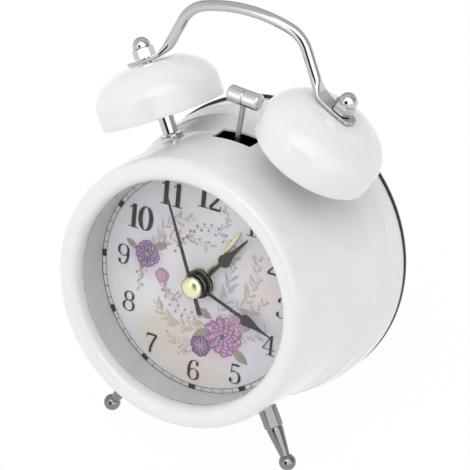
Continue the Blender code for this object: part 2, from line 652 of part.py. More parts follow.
def handle_section(distance, total):
    """Half width and half thickness of the rod at a distance along it: flat at both ends, then round."""
    near = min(distance, total - distance)
    flat_end = TAB_OVERHANG + TAB_REACH - ROD_RADIUS
    round_start = flat_end + TAB_WIDTH
    mix = min(max((near - flat_end) / (round_start - flat_end), 0), 1)
    mix = mix * mix * (3 - 2 * mix)
    half_width = TAB_WIDTH / 2 * (1 - mix) + ROD_RADIUS * mix
    half_thickness = TAB_THICKNESS / 2 * (1 - mix) + ROD_RADIUS * mix
    if near < TAB_WIDTH / 2:
        half_width = math.sqrt((TAB_WIDTH / 2) ** 2 - (TAB_WIDTH / 2 - near) ** 2)
    return half_width, half_thickness, mix


def dense_path(points, spacing):
    """The path with long straight runs divided, and its two end points drawn in a little."""
    dense = []
    for start, end in zip(points, points[1:]):
        count = max(1, round((end - start).length / spacing))
        dense += [start.lerp(end, i / count) for i in range(count)]
    return dense + [points[-1]]


def make_handle(bell_plane, bell_axes):
    """The handle: a round section swept along its path and pressed flat at both ends."""
    tip = TAB_WIDTH / 12
    path = dense_path(handle_path(), TAB_WIDTH / 3)
    path[0] = path[0] + (path[1] - path[0]).normalized() * tip
    path[-1] = path[-1] + (path[-2] - path[-1]).normalized() * tip
    distances = [tip]
    for start, end in zip(path, path[1:]):
        distances.append(distances[-1] + (end - start).length)
    total = distances[-1] + tip
    shape = bmesh.new()
    rings = []
    for i, point in enumerate(path):
        forward = (path[min(i + 1, len(path) - 1)] - path[max(i - 1, 0)]).normalized()
        up = forward.cross(Vector((0, 1, 0)))
        half_width, half_thickness, mix = handle_section(distances[i], total)
        square = TAB_SQUARE_SHARE + (1 - TAB_SQUARE_SHARE) * mix
        ring = []
        for k in range(HANDLE_SIDES):
            angle = math.tau * (k + 0.5) / HANDLE_SIDES
            side = math.copysign(abs(math.cos(angle)) ** square, math.cos(angle))
            rise = math.copysign(abs(math.sin(angle)) ** square, math.sin(angle))
            offset = Vector((0, half_width * side, 0)) + up * half_thickness * rise
            ring.append(shape.verts.new(point + offset))
        rings.append(ring)
    for first, second in zip(rings, rings[1:]):
        for k in range(HANDLE_SIDES):
            shape.faces.new((first[k - 1], first[k], second[k], second[k - 1]))
    shape.faces.new(rings[0])
    shape.faces.new(rings[-1])
    handle = piece("carrying_handle", shape, bell_plane, "chrome")
    for side, axis in bell_axes.items():
        hole = rod(STUD_HOLE, BELL_TOP - OVERRUN, NUT_REST + OVERRUN, SMALL_STEPS)
        cut(handle, piece(f"{side}_tab_hole", hole, axis, "chrome"))


def make_striker(bell_plane, hammer_axis):
    """The hammer on its pivot, and the closed drive and motor that swing it, above the movement."""
    reach = HAMMER_HEAD_HEIGHT - HAMMER_PIVOT_HEIGHT
    half_length = HAMMER_HEAD_LENGTH / 2
    end_radius = HAMMER_HEAD_RADIUS - HAMMER_HEAD_ROUND
    round_centre = (end_radius, half_length - HAMMER_HEAD_ROUND)
    right = arc(round_centre, (HAMMER_HEAD_ROUND, HAMMER_HEAD_ROUND), 90, 0, 3)
    groove_floor = HAMMER_HEAD_RADIUS - HAMMER_GROOVE / 2
    right += [(HAMMER_HEAD_RADIUS, HAMMER_GROOVE / 2), (groove_floor, HAMMER_GROOVE / 4)]
    outline = [(0, half_length)] + right + [(r, -x) for r, x in reversed(right)] + [(0, -half_length)]
    head = piece("hammer_head", turned(outline, FINE_STEPS), hammer_axis, "satin_steel", (0, 0, reach),
                 (0, math.radians(90), 0))
    half_width = ARM_WIDTH / 2
    half_thick = ARM_THICKNESS / 2
    arm_top = reach - HAMMER_HEAD_RADIUS + ARM_SOCKET_DEPTH
    socket = block((-half_width - GAP, -half_thick - GAP, reach - HAMMER_HEAD_RADIUS - OVERRUN),
                   (half_width + GAP, half_thick + GAP, arm_top + GAP))
    cut(head, piece("arm_socket", socket, hammer_axis, "satin_steel"))
    strip = block((-half_width, -half_thick, 0), (half_width, half_thick, arm_top))
    arm = piece("hammer_arm", strip, hammer_axis, "satin_steel")
    turn = (math.radians(90), 0, 0)
    eye = rod(EYE_RADIUS, -half_thick, half_thick, FINE_STEPS)
    join(arm, piece("hammer_eye", eye, hammer_axis, "satin_steel", (0, 0, 0), turn))
    hole = rod(PIVOT_RADIUS + GAP, -OVERRUN, OVERRUN, SMALL_STEPS)
    cut(arm, piece("hammer_eye_hole", hole, hammer_axis, "satin_steel", (0, 0, 0), turn))
    front = half_thick + GAP
    pin_end = -front - DRIVE_THICKNESS / 2
    pin = turned([
        (0, front + PIVOT_HEAD), (PIVOT_HEAD_RADIUS, front + PIVOT_HEAD), (PIVOT_HEAD_RADIUS, front),
        (PIVOT_RADIUS, front), (PIVOT_RADIUS, pin_end), (0, pin_end),
    ], SMALL_STEPS)
    pivot = (-HAMMER_PIVOT_OFFSET, 0, HAMMER_PIVOT_HEIGHT)
    piece("hammer_pivot", pin, bell_plane, "nickel", pivot, turn)
    low = MOVEMENT_HEIGHT / 2 - MOVEMENT_DROP + GAP
    body = block((-DRIVE_WIDTH / 2, front, low),
                 (DRIVE_WIDTH / 2, front + DRIVE_THICKNESS, low + DRIVE_HEIGHT), MOVEMENT_EDGE)
    drive = piece("hammer_drive", body, bell_plane, "black_plastic")
    bearing = rod(PIVOT_RADIUS + GAP, pin_end - GAP, OVERRUN, SMALL_STEPS)
    cut(drive, piece("pivot_bearing", bearing, bell_plane, "black_plastic", pivot, turn))
    back = front + DRIVE_THICKNESS + GAP
    can = rod(MOTOR_RADIUS, -back - MOTOR_LENGTH, -back, FINE_STEPS)
    middle = (0, 0, low + DRIVE_HEIGHT / 2)
    motor = piece("hammer_motor", can, bell_plane, "nickel", middle, turn)
    for name, side in (("left_flat", -1), ("right_flat", 1)):
        near, far = sorted((side * MOTOR_RADIUS * MOTOR_FLAT_SHARE, side * MOTOR_RADIUS * 2))
        flat = block((near, -MOTOR_RADIUS * 2, -back - MOTOR_LENGTH - OVERRUN),
                     (far, MOTOR_RADIUS * 2, -back + OVERRUN))
        cut(motor, piece(f"motor_{name}", flat, bell_plane, "nickel", middle, turn))


def make_foot(side, axis, dial_axis, ground):
    """A screwed-in foot, turned about its raked axis, with a hexagonal collar shaped to the case."""
    ball = FOOT_LENGTH
    start = math.degrees(math.acos(LEG_END_RADIUS / BALL_RADIUS))
    leg = [(0, COLLAR_LENGTH / 2), (LEG_TOP_RADIUS, COLLAR_LENGTH / 2), (LEG_TOP_RADIUS, COLLAR_LENGTH)]
    leg += [(r, ball + h) for r, h in arc((0, 0), (BALL_RADIUS, BALL_RADIUS), -start, 90, 8)[:-1]]
    leg += [(0, ball + BALL_RADIUS)]
    foot = piece(f"{side}_foot", turned(leg, FINE_STEPS), axis, "nickel")
    hexagon = rod(COLLAR_ACROSS_CORNERS / 2, -COLLAR_LENGTH / 2, COLLAR_LENGTH, 6)
    join(foot, piece(f"{side}_collar", hexagon, axis, "nickel"))
    bed = turned([
        (0, 0), (BEZEL_RADIUS + GAP, 0), (DRUM_END_RADIUS + GAP, DRUM_DEPTH),
        (WAIST_RADIUS + GAP, WAIST_DEPTH), (0, WAIST_DEPTH),
    ], 4 * ROUND_STEPS)
    cut(foot, piece(f"{side}_foot_bed", bed, dial_axis, "nickel"))
    stud_end = SHEET + 2 * GAP + THIN_NUT_HEIGHT + WASHER_THICKNESS
    stud = rod(STUD_RADIUS, -stud_end, COLLAR_LENGTH / 2, SMALL_STEPS)
    join(foot, piece(f"{side}_foot_stud", stud, axis, "nickel"))
    reach = 2 * BALL_RADIUS
    flat = block((-reach, -reach, -reach), (reach, reach, BALL_FLAT - BALL_RADIUS))
    cut(foot, piece(f"{side}_foot_flat", flat, ground, "nickel"))
    nut_low = -stud_end + GAP
    nut = tube(STUD_HOLE, NUT_ACROSS_CORNERS / 2, nut_low, nut_low + THIN_NUT_HEIGHT, 6)
    piece(f"{side}_foot_nut", nut, axis, "nickel")


def bay_bounds():
    """Inner size of the battery bay: half its width, half its height, and the depth of its floor."""
    half_width = (CELL_LENGTH + CELL_NIPPLE_LENGTH + SPRING_LENGTH) / 2 + CONTACT_THICKNESS + 2 * GAP
    half_height = CELL_RADIUS + BAY_CLEARANCE
    floor = COVER_BACK - DOOR_THICKNESS - GAP - 2 * CELL_RADIUS - BAY_CLEARANCE
    return half_width, half_height, floor


def make_cover(dial_axis, knob_axes):
    """The moulded rear cover: rim, spigot, two knob wells, battery bay and switch slot."""
    face = COVER_BACK - COVER_WALL
    spigot_outer = FLANGE_RADIUS - SHEET - 2 * GAP
    spigot_inner = spigot_outer - SPIGOT_WALL
    outline = [
        (0, COVER_BACK), (COVER_RADIUS - COVER_EDGE, COVER_BACK), (COVER_RADIUS, COVER_BACK - COVER_EDGE),
        (COVER_RADIUS, COVER_DEPTH), (spigot_outer, COVER_DEPTH),
        (spigot_outer, COVER_DEPTH - SPIGOT_DEPTH), (spigot_inner, COVER_DEPTH - SPIGOT_DEPTH),
        (spigot_inner, face), (0, face),
    ]
    cover = piece("rear_cover", turned(outline, ROUND_STEPS), dial_axis, "black_plastic")
    half_width, half_height, floor = bay_bounds()
    bay = block((-half_width - BAY_WALL, BAY_DROP - half_height - BAY_WALL, floor - BAY_WALL),
                (half_width + BAY_WALL, BAY_DROP + half_height + BAY_WALL, face + COVER_WALL / 2))
    join(cover, piece("bay_walls", bay, dial_axis, "black_plastic"))
    edge = DOOR_OVERLAP + GAP
    ledge = COVER_BACK - DOOR_THICKNESS - GAP
    frame_edge = edge + BAY_WALL
    surround = block((-half_width - frame_edge, BAY_DROP - half_height - frame_edge, ledge - BAY_WALL),
                     (half_width + frame_edge, BAY_DROP + half_height + frame_edge, face + COVER_WALL / 3))
    join(cover, piece("door_surround", surround, dial_axis, "black_plastic"))
    well_floor = COVER_BACK - WELL_DEPTH
    for name, axis in knob_axes.items():
        cup = rod(WELL_RADIUS + BAY_WALL, well_floor - BAY_WALL, face + COVER_WALL / 2, FINE_STEPS)
        join(cover, piece(f"{name}_well_wall", cup, axis, "black_plastic"))
        well = rod(WELL_RADIUS, well_floor, COVER_BACK + OVERRUN, FINE_STEPS)
        cut(cover, piece(f"{name}_well", well, axis, "black_plastic"))
        stem = rod(KNOB_STEM_RADIUS + GAP, well_floor - BAY_WALL - OVERRUN, COVER_BACK, SMALL_STEPS)
        cut(cover, piece(f"{name}_stem_hole", stem, axis, "black_plastic"))
    inside = block((-half_width, BAY_DROP - half_height, floor),
                   (half_width, BAY_DROP + half_height, COVER_BACK + OVERRUN))
    cut(cover, piece("bay_inside", inside, dial_axis, "black_plastic"))
    rebate = block((-half_width - edge, BAY_DROP - half_height - edge, ledge),
                   (half_width + edge, BAY_DROP + half_height + edge, COVER_BACK + OVERRUN))
    cut(cover, piece("door_rebate", rebate, dial_axis, "black_plastic"))
    slot = block((-SWITCH_SLOT_WIDTH / 2, -SWITCH_HEIGHT - SWITCH_SLOT_HEIGHT / 2, face - OVERRUN),
                 (SWITCH_SLOT_WIDTH / 2, -SWITCH_HEIGHT + SWITCH_SLOT_HEIGHT / 2, COVER_BACK + OVERRUN))
    cut(cover, piece("switch_slot", slot, dial_axis, "black_plastic"))
    for number, angle in enumerate(PILLAR_ANGLES, 1):
        x, z = on_circle(PILLAR_CIRCLE, angle)
        hole = rod(SCREW_RADIUS + GAP, face - OVERRUN, COVER_BACK + OVERRUN, SMALL_STEPS)
        cut(cover, piece(f"screw_hole_{number}", hole, dial_axis, "black_plastic", (x, -z, 0)))


def make_cover_screws(dial_axis):
    """Three domed screws through the rear cover into the pillars."""
    seat = COVER_BACK + GAP
    end = COVER_BACK - SCREW_LENGTH
    for number, angle in enumerate(PILLAR_ANGLES, 1):
        x, z = on_circle(PILLAR_CIRCLE, angle)
        screw = turned([
            (0, seat + SCREW_HEAD_HEIGHT), (SCREW_HEAD_RADIUS * SCREW_DOME_SHARE, seat + SCREW_HEAD_HEIGHT),
            (SCREW_HEAD_RADIUS, seat + SCREW_HEAD_HEIGHT / 2), (SCREW_HEAD_RADIUS, seat),
            (SCREW_RADIUS, seat), (SCREW_RADIUS, end), (0, end),
        ], SMALL_STEPS)
        piece(f"cover_screw_{number}", screw, dial_axis, "nickel", (x, -z, 0))


def make_knob(name, axis):
    """A ribbed setting knob in its well, with a stem that reaches the movement."""
    low = COVER_BACK - WELL_DEPTH + GAP
    high = COVER_BACK + KNOB_PROUD
    count = 2 * KNOB_RIBS
    rim = []
    for i in range(count):
        radius = KNOB_RADIUS - KNOB_RIB_DEPTH * (i % 2)
        angle = math.tau * i / count
        rim.append((radius * math.cos(angle), radius * math.sin(angle)))
    knob = piece(name, extruded(rim, low, high), axis, "black_plastic")
    stem = rod(KNOB_STEM_RADIUS, MOVEMENT_BACK - SOCKET_DEPTH + GAP, (low + high) / 2, SMALL_STEPS)
    join(knob, piece(f"{name}_stem", stem, axis, "black_plastic"))


def make_switch(dial_axis):
    """The alarm slide switch: a thumb piece in its slot and a wider plate behind the cover."""
    face = COVER_BACK - COVER_WALL
    left = -SWITCH_TRAVEL / 2
    slide = empty("switch_slide", dial_axis, (left, -SWITCH_HEIGHT, 0))
    half_height = SWITCH_SLOT_HEIGHT / 2 - GAP
    thumb = block((-SWITCH_LENGTH / 2, -half_height, face - OVERRUN),
                  (SWITCH_LENGTH / 2, half_height, COVER_BACK + SWITCH_PROUD))
    switch = piece("alarm_switch", thumb, slide, "white_plastic")
    margin = SWITCH_SLOT_HEIGHT / 2
    plate = block((-SWITCH_LENGTH / 2 - margin, -half_height - margin, face - GAP - OVERRUN),
                  (SWITCH_LENGTH / 2 + margin, half_height + margin, face - GAP))
    join(switch, piece("switch_plate", plate, slide, "white_plastic"))


def make_battery(dial_axis):
    """The cell across its bay, with a leaf contact at one end and a coiled one at the other."""
    half_width, half_height, floor = bay_bounds()
    centre = floor + CELL_RADIUS + BAY_CLEARANCE / 2
    leaf_face = half_width - GAP - CONTACT_THICKNESS
    nipple_end = leaf_face - GAP
    body_end = nipple_end - CELL_NIPPLE_LENGTH
    body_start = body_end - CELL_LENGTH
    edge = CELL_NIPPLE_LENGTH / 4
    cell = turned([
        (0, nipple_end), (CELL_NIPPLE_RADIUS, nipple_end), (CELL_NIPPLE_RADIUS, body_end),
        (CELL_RADIUS - edge, body_end), (CELL_RADIUS, body_end - edge), (CELL_RADIUS, body_start + edge),
        (CELL_RADIUS - edge, body_start), (0, body_start),
    ], FINE_STEPS)
    along = (0, math.radians(90), 0)
    piece("battery", cell, dial_axis, "battery_wrap", (0, BAY_DROP, centre), along)
    leaf = block((leaf_face, BAY_DROP - CONTACT_WIDTH / 2, floor + GAP),
                 (half_width - GAP, BAY_DROP + CONTACT_WIDTH / 2, floor + 2 * CELL_RADIUS))
    piece("positive_contact", leaf, dial_axis, "nickel")
    back = -half_width + GAP
    plate = block((back, BAY_DROP - CONTACT_WIDTH / 2, floor + GAP),
                  (back + CONTACT_THICKNESS, BAY_DROP + CONTACT_WIDTH / 2, floor + 2 * CELL_RADIUS))
    contact = piece("negative_contact", plate, dial_axis, "nickel")
    coil_start = back + CONTACT_THICKNESS / 2
    coil_end = body_start - GAP - SPRING_WIRE
    join(contact, make_coil(dial_axis, coil_start, coil_end, centre))


def make_coil(dial_axis, start, end, centre):
    """The conical coil of the negative contact, as a wire swept along a tapering helix."""
    path = bpy.data.curves.new("contact_coil", "CURVE")
    path.dimensions = "3D"
    path.bevel_depth = SPRING_WIRE
    path.bevel_resolution = 0
    path.use_fill_caps = True
    count = SPRING_TURNS * 8
    line = path.splines.new("POLY")
    line.points.add(count)
    for i in range(count + 1):
        angle = math.tau * SPRING_TURNS * i / count
        radius = SPRING_RADIUS * (1 - SPRING_TAPER_SHARE * i / count)
        along = start + (end - start) * i / count
        across = BAY_DROP + radius * math.cos(angle)
        line.points[i].co = (along, across, centre + radius * math.sin(angle), 1)
    helper = bpy.data.objects.new("contact_coil_curve", path)
    mesh = bpy.data.meshes.new_from_object(helper)
    shape = bmesh.new()
    shape.from_mesh(mesh)
    bmesh.ops.remove_doubles(shape, verts=shape.verts, dist=WELD)
    return piece("contact_coil", shape, dial_axis, "nickel")


def make_door(dial_axis):
    """The battery door, hinged about the half-round lip along its lower edge, with a ribbed thumb grip."""
    half_width, half_height, _ = bay_bounds()
    side = half_width + DOOR_OVERLAP
    lip = DOOR_THICKNESS / 2
    low_edge = BAY_DROP + half_height + DOOR_OVERLAP
    height = 2 * (half_height + DOOR_OVERLAP)
    axis = empty("door_hinge", dial_axis, (0, low_edge - lip, COVER_BACK - lip))
    outline = [(y, z) for y, z in arc((0, 0), (lip, lip), -90, 90, 6)]
    outline += [(-height + lip, lip), (-height + lip, -lip)]
    sheet = extruded(outline, -side, side)
    turn = Matrix(((0, 0, 1), (1, 0, 0), (0, 1, 0)))
    bmesh.ops.rotate(sheet, verts=sheet.verts, cent=(0, 0, 0), matrix=turn)
    door = piece("battery_door", sheet, axis, "black_plastic")
    pitch = height / 12
    for i in range(3):
        middle = -height + lip + pitch * (i + 1.5)
        rib = block((-DOOR_GRIP_WIDTH / 2, middle - pitch / 4, 0),
                    (DOOR_GRIP_WIDTH / 2, middle + pitch / 4, lip + pitch / 4))
        join(door, piece(f"door_rib_{i + 1}", rib, axis, "black_plastic"))


def centre_on_origin(frame):
    """Moves the leaning clock so that its box is centred over the origin and it stands on the ground."""
    bpy.context.view_layer.update()
    graph = bpy.context.evaluated_depsgraph_get()
    corners = []
    for item in bpy.context.scene.objects:
        if item.type == "MESH" and not item.hide_render:
            shown = item.evaluated_get(graph)
            corners += [shown.matrix_world @ vertex.co for vertex in shown.data.vertices]
    lows = [min(corner[i] for corner in corners) for i in range(3)]
    highs = [max(corner[i] for corner in corners) for i in range(3)]
    frame.location -= Vector(((lows[0] + highs[0]) / 2, (lows[1] + highs[1]) / 2, lows[2]))
    bpy.context.view_layer.update()


def main():
    for item in list(bpy.data.objects):
        bpy.data.objects.remove(item)
    lean = lean_back()
    frame = empty("clock_frame", rotation=(-lean, 0, 0))
    dial_axis = empty("dial_axis", frame, rotation=(math.radians(-90), 0, 0))
    bell_plane = empty("bell_plane", frame, (0, BELL_PLANE, 0))
    sides = (("left", -1), ("right", 1))
    bell_axes = {}
    foot_axes = {}
    for side, sign in sides:
        bell_axes[side] = empty(f"{side}_bell_axis", bell_plane, (sign * BELL_SHIFT, 0, 0),
                                (0, sign * BELL_ANGLE, 0))
        turn = Vector((0, 0, 1)).rotation_difference(foot_direction(sign)).to_euler()
        foot_axes[side] = empty(f"{side}_foot_axis", frame, foot_base(sign), turn)
    knob_axes = {
        "time_knob": empty("time_knob_axis", dial_axis, (-KNOB_SPREAD, -KNOB_HEIGHT, 0)),
        "alarm_knob": empty("alarm_knob_axis", dial_axis, (KNOB_SPREAD, -KNOB_HEIGHT, 0)),
    }
    angles = {"second": SECOND_ANGLE, "minute": MINUTE_ANGLE, "hour": HOUR_ANGLE, "alarm": ALARM_ANGLE}
    hand_axes = {name: empty(f"{name}_axis", dial_axis, rotation=(0, 0, math.radians(angle)))
                 for name, angle in angles.items()}
    hammer_axis = empty("hammer_axis", bell_plane, (-HAMMER_PIVOT_OFFSET, 0, HAMMER_PIVOT_HEIGHT),
                        (0, math.radians(HAMMER_LEAN), 0))
    make_case(dial_axis, bell_axes, foot_axes)
    make_dial_group(dial_axis)
    make_frame(dial_axis)
    make_movement(dial_axis, knob_axes)
    make_hands(hand_axes)
    for side, axis in bell_axes.items():
        make_bell(side, axis)
    make_handle(bell_plane, bell_axes)
    make_striker(bell_plane, hammer_axis)
    for side, sign in sides:
        ground = empty(f"{side}_ground", frame, ball_centre(sign), (lean, 0, 0))
        make_foot(side, foot_axes[side], dial_axis, ground)
    make_cover(dial_axis, knob_axes)
    make_cover_screws(dial_axis)
    for name, axis in knob_axes.items():
        make_knob(name, axis)
    make_switch(dial_axis)
    make_battery(dial_axis)
    make_door(dial_axis)
    centre_on_origin(frame)


main()
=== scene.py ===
import json
import math
import random

import bmesh
import bpy
from mathutils import Matrix, Vector


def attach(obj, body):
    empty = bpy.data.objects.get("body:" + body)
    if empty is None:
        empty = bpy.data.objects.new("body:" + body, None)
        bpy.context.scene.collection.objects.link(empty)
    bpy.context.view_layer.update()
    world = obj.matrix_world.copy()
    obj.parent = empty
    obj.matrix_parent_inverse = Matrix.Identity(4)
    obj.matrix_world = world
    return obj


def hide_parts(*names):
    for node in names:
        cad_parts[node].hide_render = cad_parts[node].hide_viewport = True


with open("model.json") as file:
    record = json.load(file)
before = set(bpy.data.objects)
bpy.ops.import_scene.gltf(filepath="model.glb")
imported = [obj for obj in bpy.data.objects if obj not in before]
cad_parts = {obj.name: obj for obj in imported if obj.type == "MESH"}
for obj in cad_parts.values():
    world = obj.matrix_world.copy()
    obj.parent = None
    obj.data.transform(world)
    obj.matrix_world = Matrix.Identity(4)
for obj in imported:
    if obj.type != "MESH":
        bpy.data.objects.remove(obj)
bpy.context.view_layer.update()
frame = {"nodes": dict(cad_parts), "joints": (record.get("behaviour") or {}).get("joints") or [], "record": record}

# The clock's own axes: millimetres from the middle of the bezel's widest circle, X to the right, Y into the
# case and Z to the twelve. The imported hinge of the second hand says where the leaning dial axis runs. FACE lays
# the axis of a turned shape along the dial's, so that its heights become depths behind the bezel.
dial_hinge = next(joint for joint in frame["joints"] if joint["name"] == "second_hand_turn")
back = Vector(dial_hinge["axis"]).normalized()
up = Vector((1, 0, 0)).cross(back)
CLOCK = Matrix.Translation(dial_hinge["pos_m"]) @ Matrix(((1, back.x, up.x, 0), (0, back.y, up.y, 0),
                                                          (0, back.z, up.z, 0), (0, 0, 0, 1)))
CLOCK = CLOCK @ Matrix.Scale(0.001, 4)
FACE = Matrix.Rotation(math.radians(-90), 4, "X")


# Case: one drum drawn from thin steel, with a rolled bezel in front, a nearly straight front half and a
# flared, stepped rear half, sprayed with glossy white enamel. A slot in its top lets the hammer out.
def softened(points, reach):
    """Turns each corner of an open line into a short soft bend that starts a reach before it."""
    softer = [points[0]]
    for before, corner, after in zip(points, points[1:], points[2:]):
        before, corner, after = Vector(before), Vector(corner), Vector(after)
        start = corner + (before - corner).normalized() * min(reach, (before - corner).length * 0.45)
        end = corner + (after - corner).normalized() * min(reach, (after - corner).length * 0.45)
        for i in range(7):
            t = i / 6
            point = start * (1 - t) ** 2 + corner * 2 * t * (1 - t) + end * t ** 2
            softer.append((point.x, point.y))
    return softer + [points[-1]]


def arc(centre, radii, start, end, steps):
    """Points of an elliptic arc, with its angles in degrees."""
    angles = [math.radians(start + (end - start) * i / steps) for i in range(steps + 1)]
    return [(centre[0] + radii[0] * math.cos(a), centre[1] + radii[1] * math.sin(a)) for a in angles]


def turned(outline, steps, closed=True):
    """A body turned about Z from (radius, height) points: closed by the axis, as a ring, or left open."""
    shape = bmesh.new()
    corners = [shape.verts.new((radius, 0, height)) for radius, height in outline]
    edges = [shape.edges.new(pair) for pair in zip(corners, corners[1:])]
    if closed and outline[0][0] > 0:
        edges.append(shape.edges.new((corners[-1], corners[0])))
    bmesh.ops.spin(shape, geom=corners + edges, cent=(0, 0, 0), axis=(0, 0, 1), dvec=(0, 0, 0),
                   angle=math.tau, steps=steps, use_merge=True)
    bmesh.ops.remove_doubles(shape, verts=shape.verts, dist=0.001)
    return shape


def block(low, high):
    """A plain block between two corners."""
    shape = bmesh.new()
    middle = (Vector(low) + Vector(high)) / 2
    size = Vector(high) - Vector(low)
    bmesh.ops.create_cube(shape, size=1, matrix=Matrix.Translation(middle) @ Matrix.Diagonal((*size, 1)))
    return shape


def shown(name, data):
    """A new object in the scene."""
    made = bpy.data.objects.new(name, data)
    bpy.context.scene.collection.objects.link(made)
    return made


def piece(name, shape, place, finish, sharp=35):
    """A mesh object made from a bmesh in millimetres, set in the row frame by its place on the clock."""
    bmesh.ops.recalc_face_normals(shape, faces=shape.faces)
    mesh = bpy.data.meshes.new(name)
    shape.to_mesh(mesh)
    shape.free()
    mesh.transform(CLOCK @ place)
    mesh.shade_smooth()
    mesh.set_sharp_from_angle(angle=math.radians(sharp))
    mesh.materials.append(finish)
    return shown(name, mesh)


def frozen(made):
    """Turns an object's modifiers into plain mesh."""
    bpy.context.view_layer.update()
    graph = bpy.context.evaluated_depsgraph_get()
    mesh = bpy.data.meshes.new_from_object(made.evaluated_get(graph))
    made.modifiers.clear()
    made.data = mesh
    mesh.shade_smooth()
    mesh.set_sharp_from_angle(angle=math.radians(35))
    return made


def bevelled(made, width, segments=3, limit=30):
    """Rounds the edges of an object by a width in millimetres."""
    edge = made.modifiers.new("edge", "BEVEL")
    edge.width = width * 0.001
    edge.segments = segments
    edge.limit_method = "ANGLE"
    edge.angle_limit = math.radians(limit)
    return frozen(made)


def combined(target, shape, place, operation):
    """Joins a shape in millimetres onto the target, cuts it out, or keeps what both share."""
    tool = piece("tool", shape, place, target.data.materials[0])
    change = target.modifiers.new("change", "BOOLEAN")
    change.operation = operation
    change.solver = "EXACT"
    change.object = tool
    frozen(target)
    bpy.data.objects.remove(tool)


def settle(made, body, slot, *nodes):
    """Says which body the piece rides on and which solids it stands for; the slot, which names its finish, is not
    used.
    """
    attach(made, body)
    if nodes:
        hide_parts(*nodes)
    return made


def feed(tree, node, given):
    """Gives each named input of a node a value or the socket that feeds it."""
    for name, value in given.items():
        if isinstance(value, bpy.types.NodeSocket):
            tree.links.new(value, node.inputs[name])
        else:
            node.inputs[name].default_value = value
    return node


def add(tree, kind, given=None, **settings):
    """A new node with its settings and what its inputs are given."""
    node = tree.nodes.new(kind)
    for name, value in settings.items():
        setattr(node, name, value)
    return feed(tree, node, given or {})


def reckoned(tree, operation, *given):
    """The result of a sum on sockets and numbers."""
    return add(tree, "ShaderNodeMath", dict(enumerate(given)), operation=operation).outputs[0]


def ranged(tree, value, before, after, way="LINEAR"):
    """A value carried over from one range to another."""
    ends = {"From Min": before[0], "From Max": before[1], "To Min": after[0], "To Max": after[1]}
    return add(tree, "ShaderNodeMapRange", {"Value": value, **ends}, interpolation_type=way).outputs["Result"]


def laid_over(tree, share, base, colour, way="MIX"):
    """The base with a colour laid over it by a share."""
    return add(tree, "ShaderNodeMix", {"Factor": share, "A": base, "B": colour}, data_type="RGBA",
               blend_type=way).outputs["Result"]


def inputs_of(tree, kind, usual):
    """Named inputs of one kind for a node group, each with its usual value."""
    for name, value in usual.items():
        tree.interface.new_socket(name, in_out="INPUT", socket_type=f"NodeSocket{kind}").default_value = value


def marks_group():
    """Fine marks of making and handling: a slow cloud, small specks and the relief of both."""
    tree = bpy.data.node_groups.new("fine_marks", "ShaderNodeTree")
    inputs_of(tree, "Float", {"Cloud Size": 60.0, "Speck Size": 900.0})
    for name in ("Cloud", "Specks", "Relief"):
        tree.interface.new_socket(name, in_out="OUTPUT", socket_type="NodeSocketFloat")
    given = add(tree, "NodeGroupInput").outputs
    where = add(tree, "ShaderNodeTexCoord").outputs["Object"]
    cloud = add(tree, "ShaderNodeTexNoise", {"Vector": where, "Scale": given["Cloud Size"], "Detail": 3})
    specks = add(tree, "ShaderNodeTexNoise", {"Vector": where, "Scale": given["Speck Size"], "Detail": 4,
                                              "Roughness": 0.6})
    cloud, specks = cloud.outputs["Fac"], specks.outputs["Fac"]
    relief = reckoned(tree, "MULTIPLY_ADD", cloud, 0.3, specks)
    add(tree, "NodeGroupOutput", {"Cloud": cloud, "Specks": specks, "Relief": relief})
    return tree


def new_finish(name):
    """A material and its node tree."""
    finish = bpy.data.materials.new(name)
    finish.use_nodes = True
    return finish, finish.node_tree


FINE_MARKS = marks_group()
RELIEF_DEPTH = 0.00002


def surface(name, light, dark, smooth, rough, metallic=0.0, cloud=60.0, specks=900.0, relief=0.02, coat=0.0):
    """A finish whose colour and roughness drift between two values, with a fine relief."""
    finish, tree = new_finish(name)
    sizes = {"Cloud Size": cloud, "Speck Size": specks}
    marks = add(tree, "ShaderNodeGroup", sizes, node_tree=FINE_MARKS).outputs
    colour = laid_over(tree, marks["Cloud"], (*dark, 1), (*light, 1))
    colour.node.name = "colour"
    bump = add(tree, "ShaderNodeBump", {"Strength": relief, "Distance": RELIEF_DEPTH,
                                        "Height": marks["Relief"]})
    feed(tree, tree.nodes["Principled BSDF"], {
        "Base Color": colour, "Roughness": ranged(tree, marks["Specks"], (0.3, 0.7), (smooth, rough)),
        "Normal": bump.outputs["Normal"], "Metallic": metallic, "Coat Weight": coat, "Coat Roughness": 0.06})
    return finish


WHITE_ENAMEL = surface("white_enamel", (0.85, 0.85, 0.85), (0.84, 0.84, 0.84), 0.10, 0.16, cloud=30, specks=300)
OPENING_RADIUS, LIP_DEPTH = 33.5, 1.0
SHEET = 0.6
CASE_STEPS = 180
HAMMER_SLOT = ((-6.3, 21.1, 20), (6.3, 28.1, 46))
inner_roll = arc((36.1, 0), (2.6, 2.95), -180, -90, 16)
outer_roll = arc((37.5, 1.5), (2.5, 4.55), -80, 0, 20)
flank = softened([(40.0, 1.5), (40.4, 13.0), (40.8, 26.2), (41.35, 29.2), (42.85, 35.4), (43.35, 36.4),
                  (43.45, 37.6), (44.0, 42.4), (44.4, 43.8), (44.5, 45.2), (44.5, 49.6), (44.3, 51.6)], 0.45)
outline = [(OPENING_RADIUS, LIP_DEPTH)] + inner_roll + outer_roll[1:] + flank[1:]
case = piece("case_shell", turned(outline, CASE_STEPS, closed=False), FACE, WHITE_ENAMEL)
wall = case.modifiers.new("wall", "SOLIDIFY")
wall.thickness = SHEET * 0.001
wall.offset = -1
frozen(case)
combined(case, block(*HAMMER_SLOT), Matrix(), "DIFFERENCE")
settle(case, "clock_body", "white_enamel", "case")


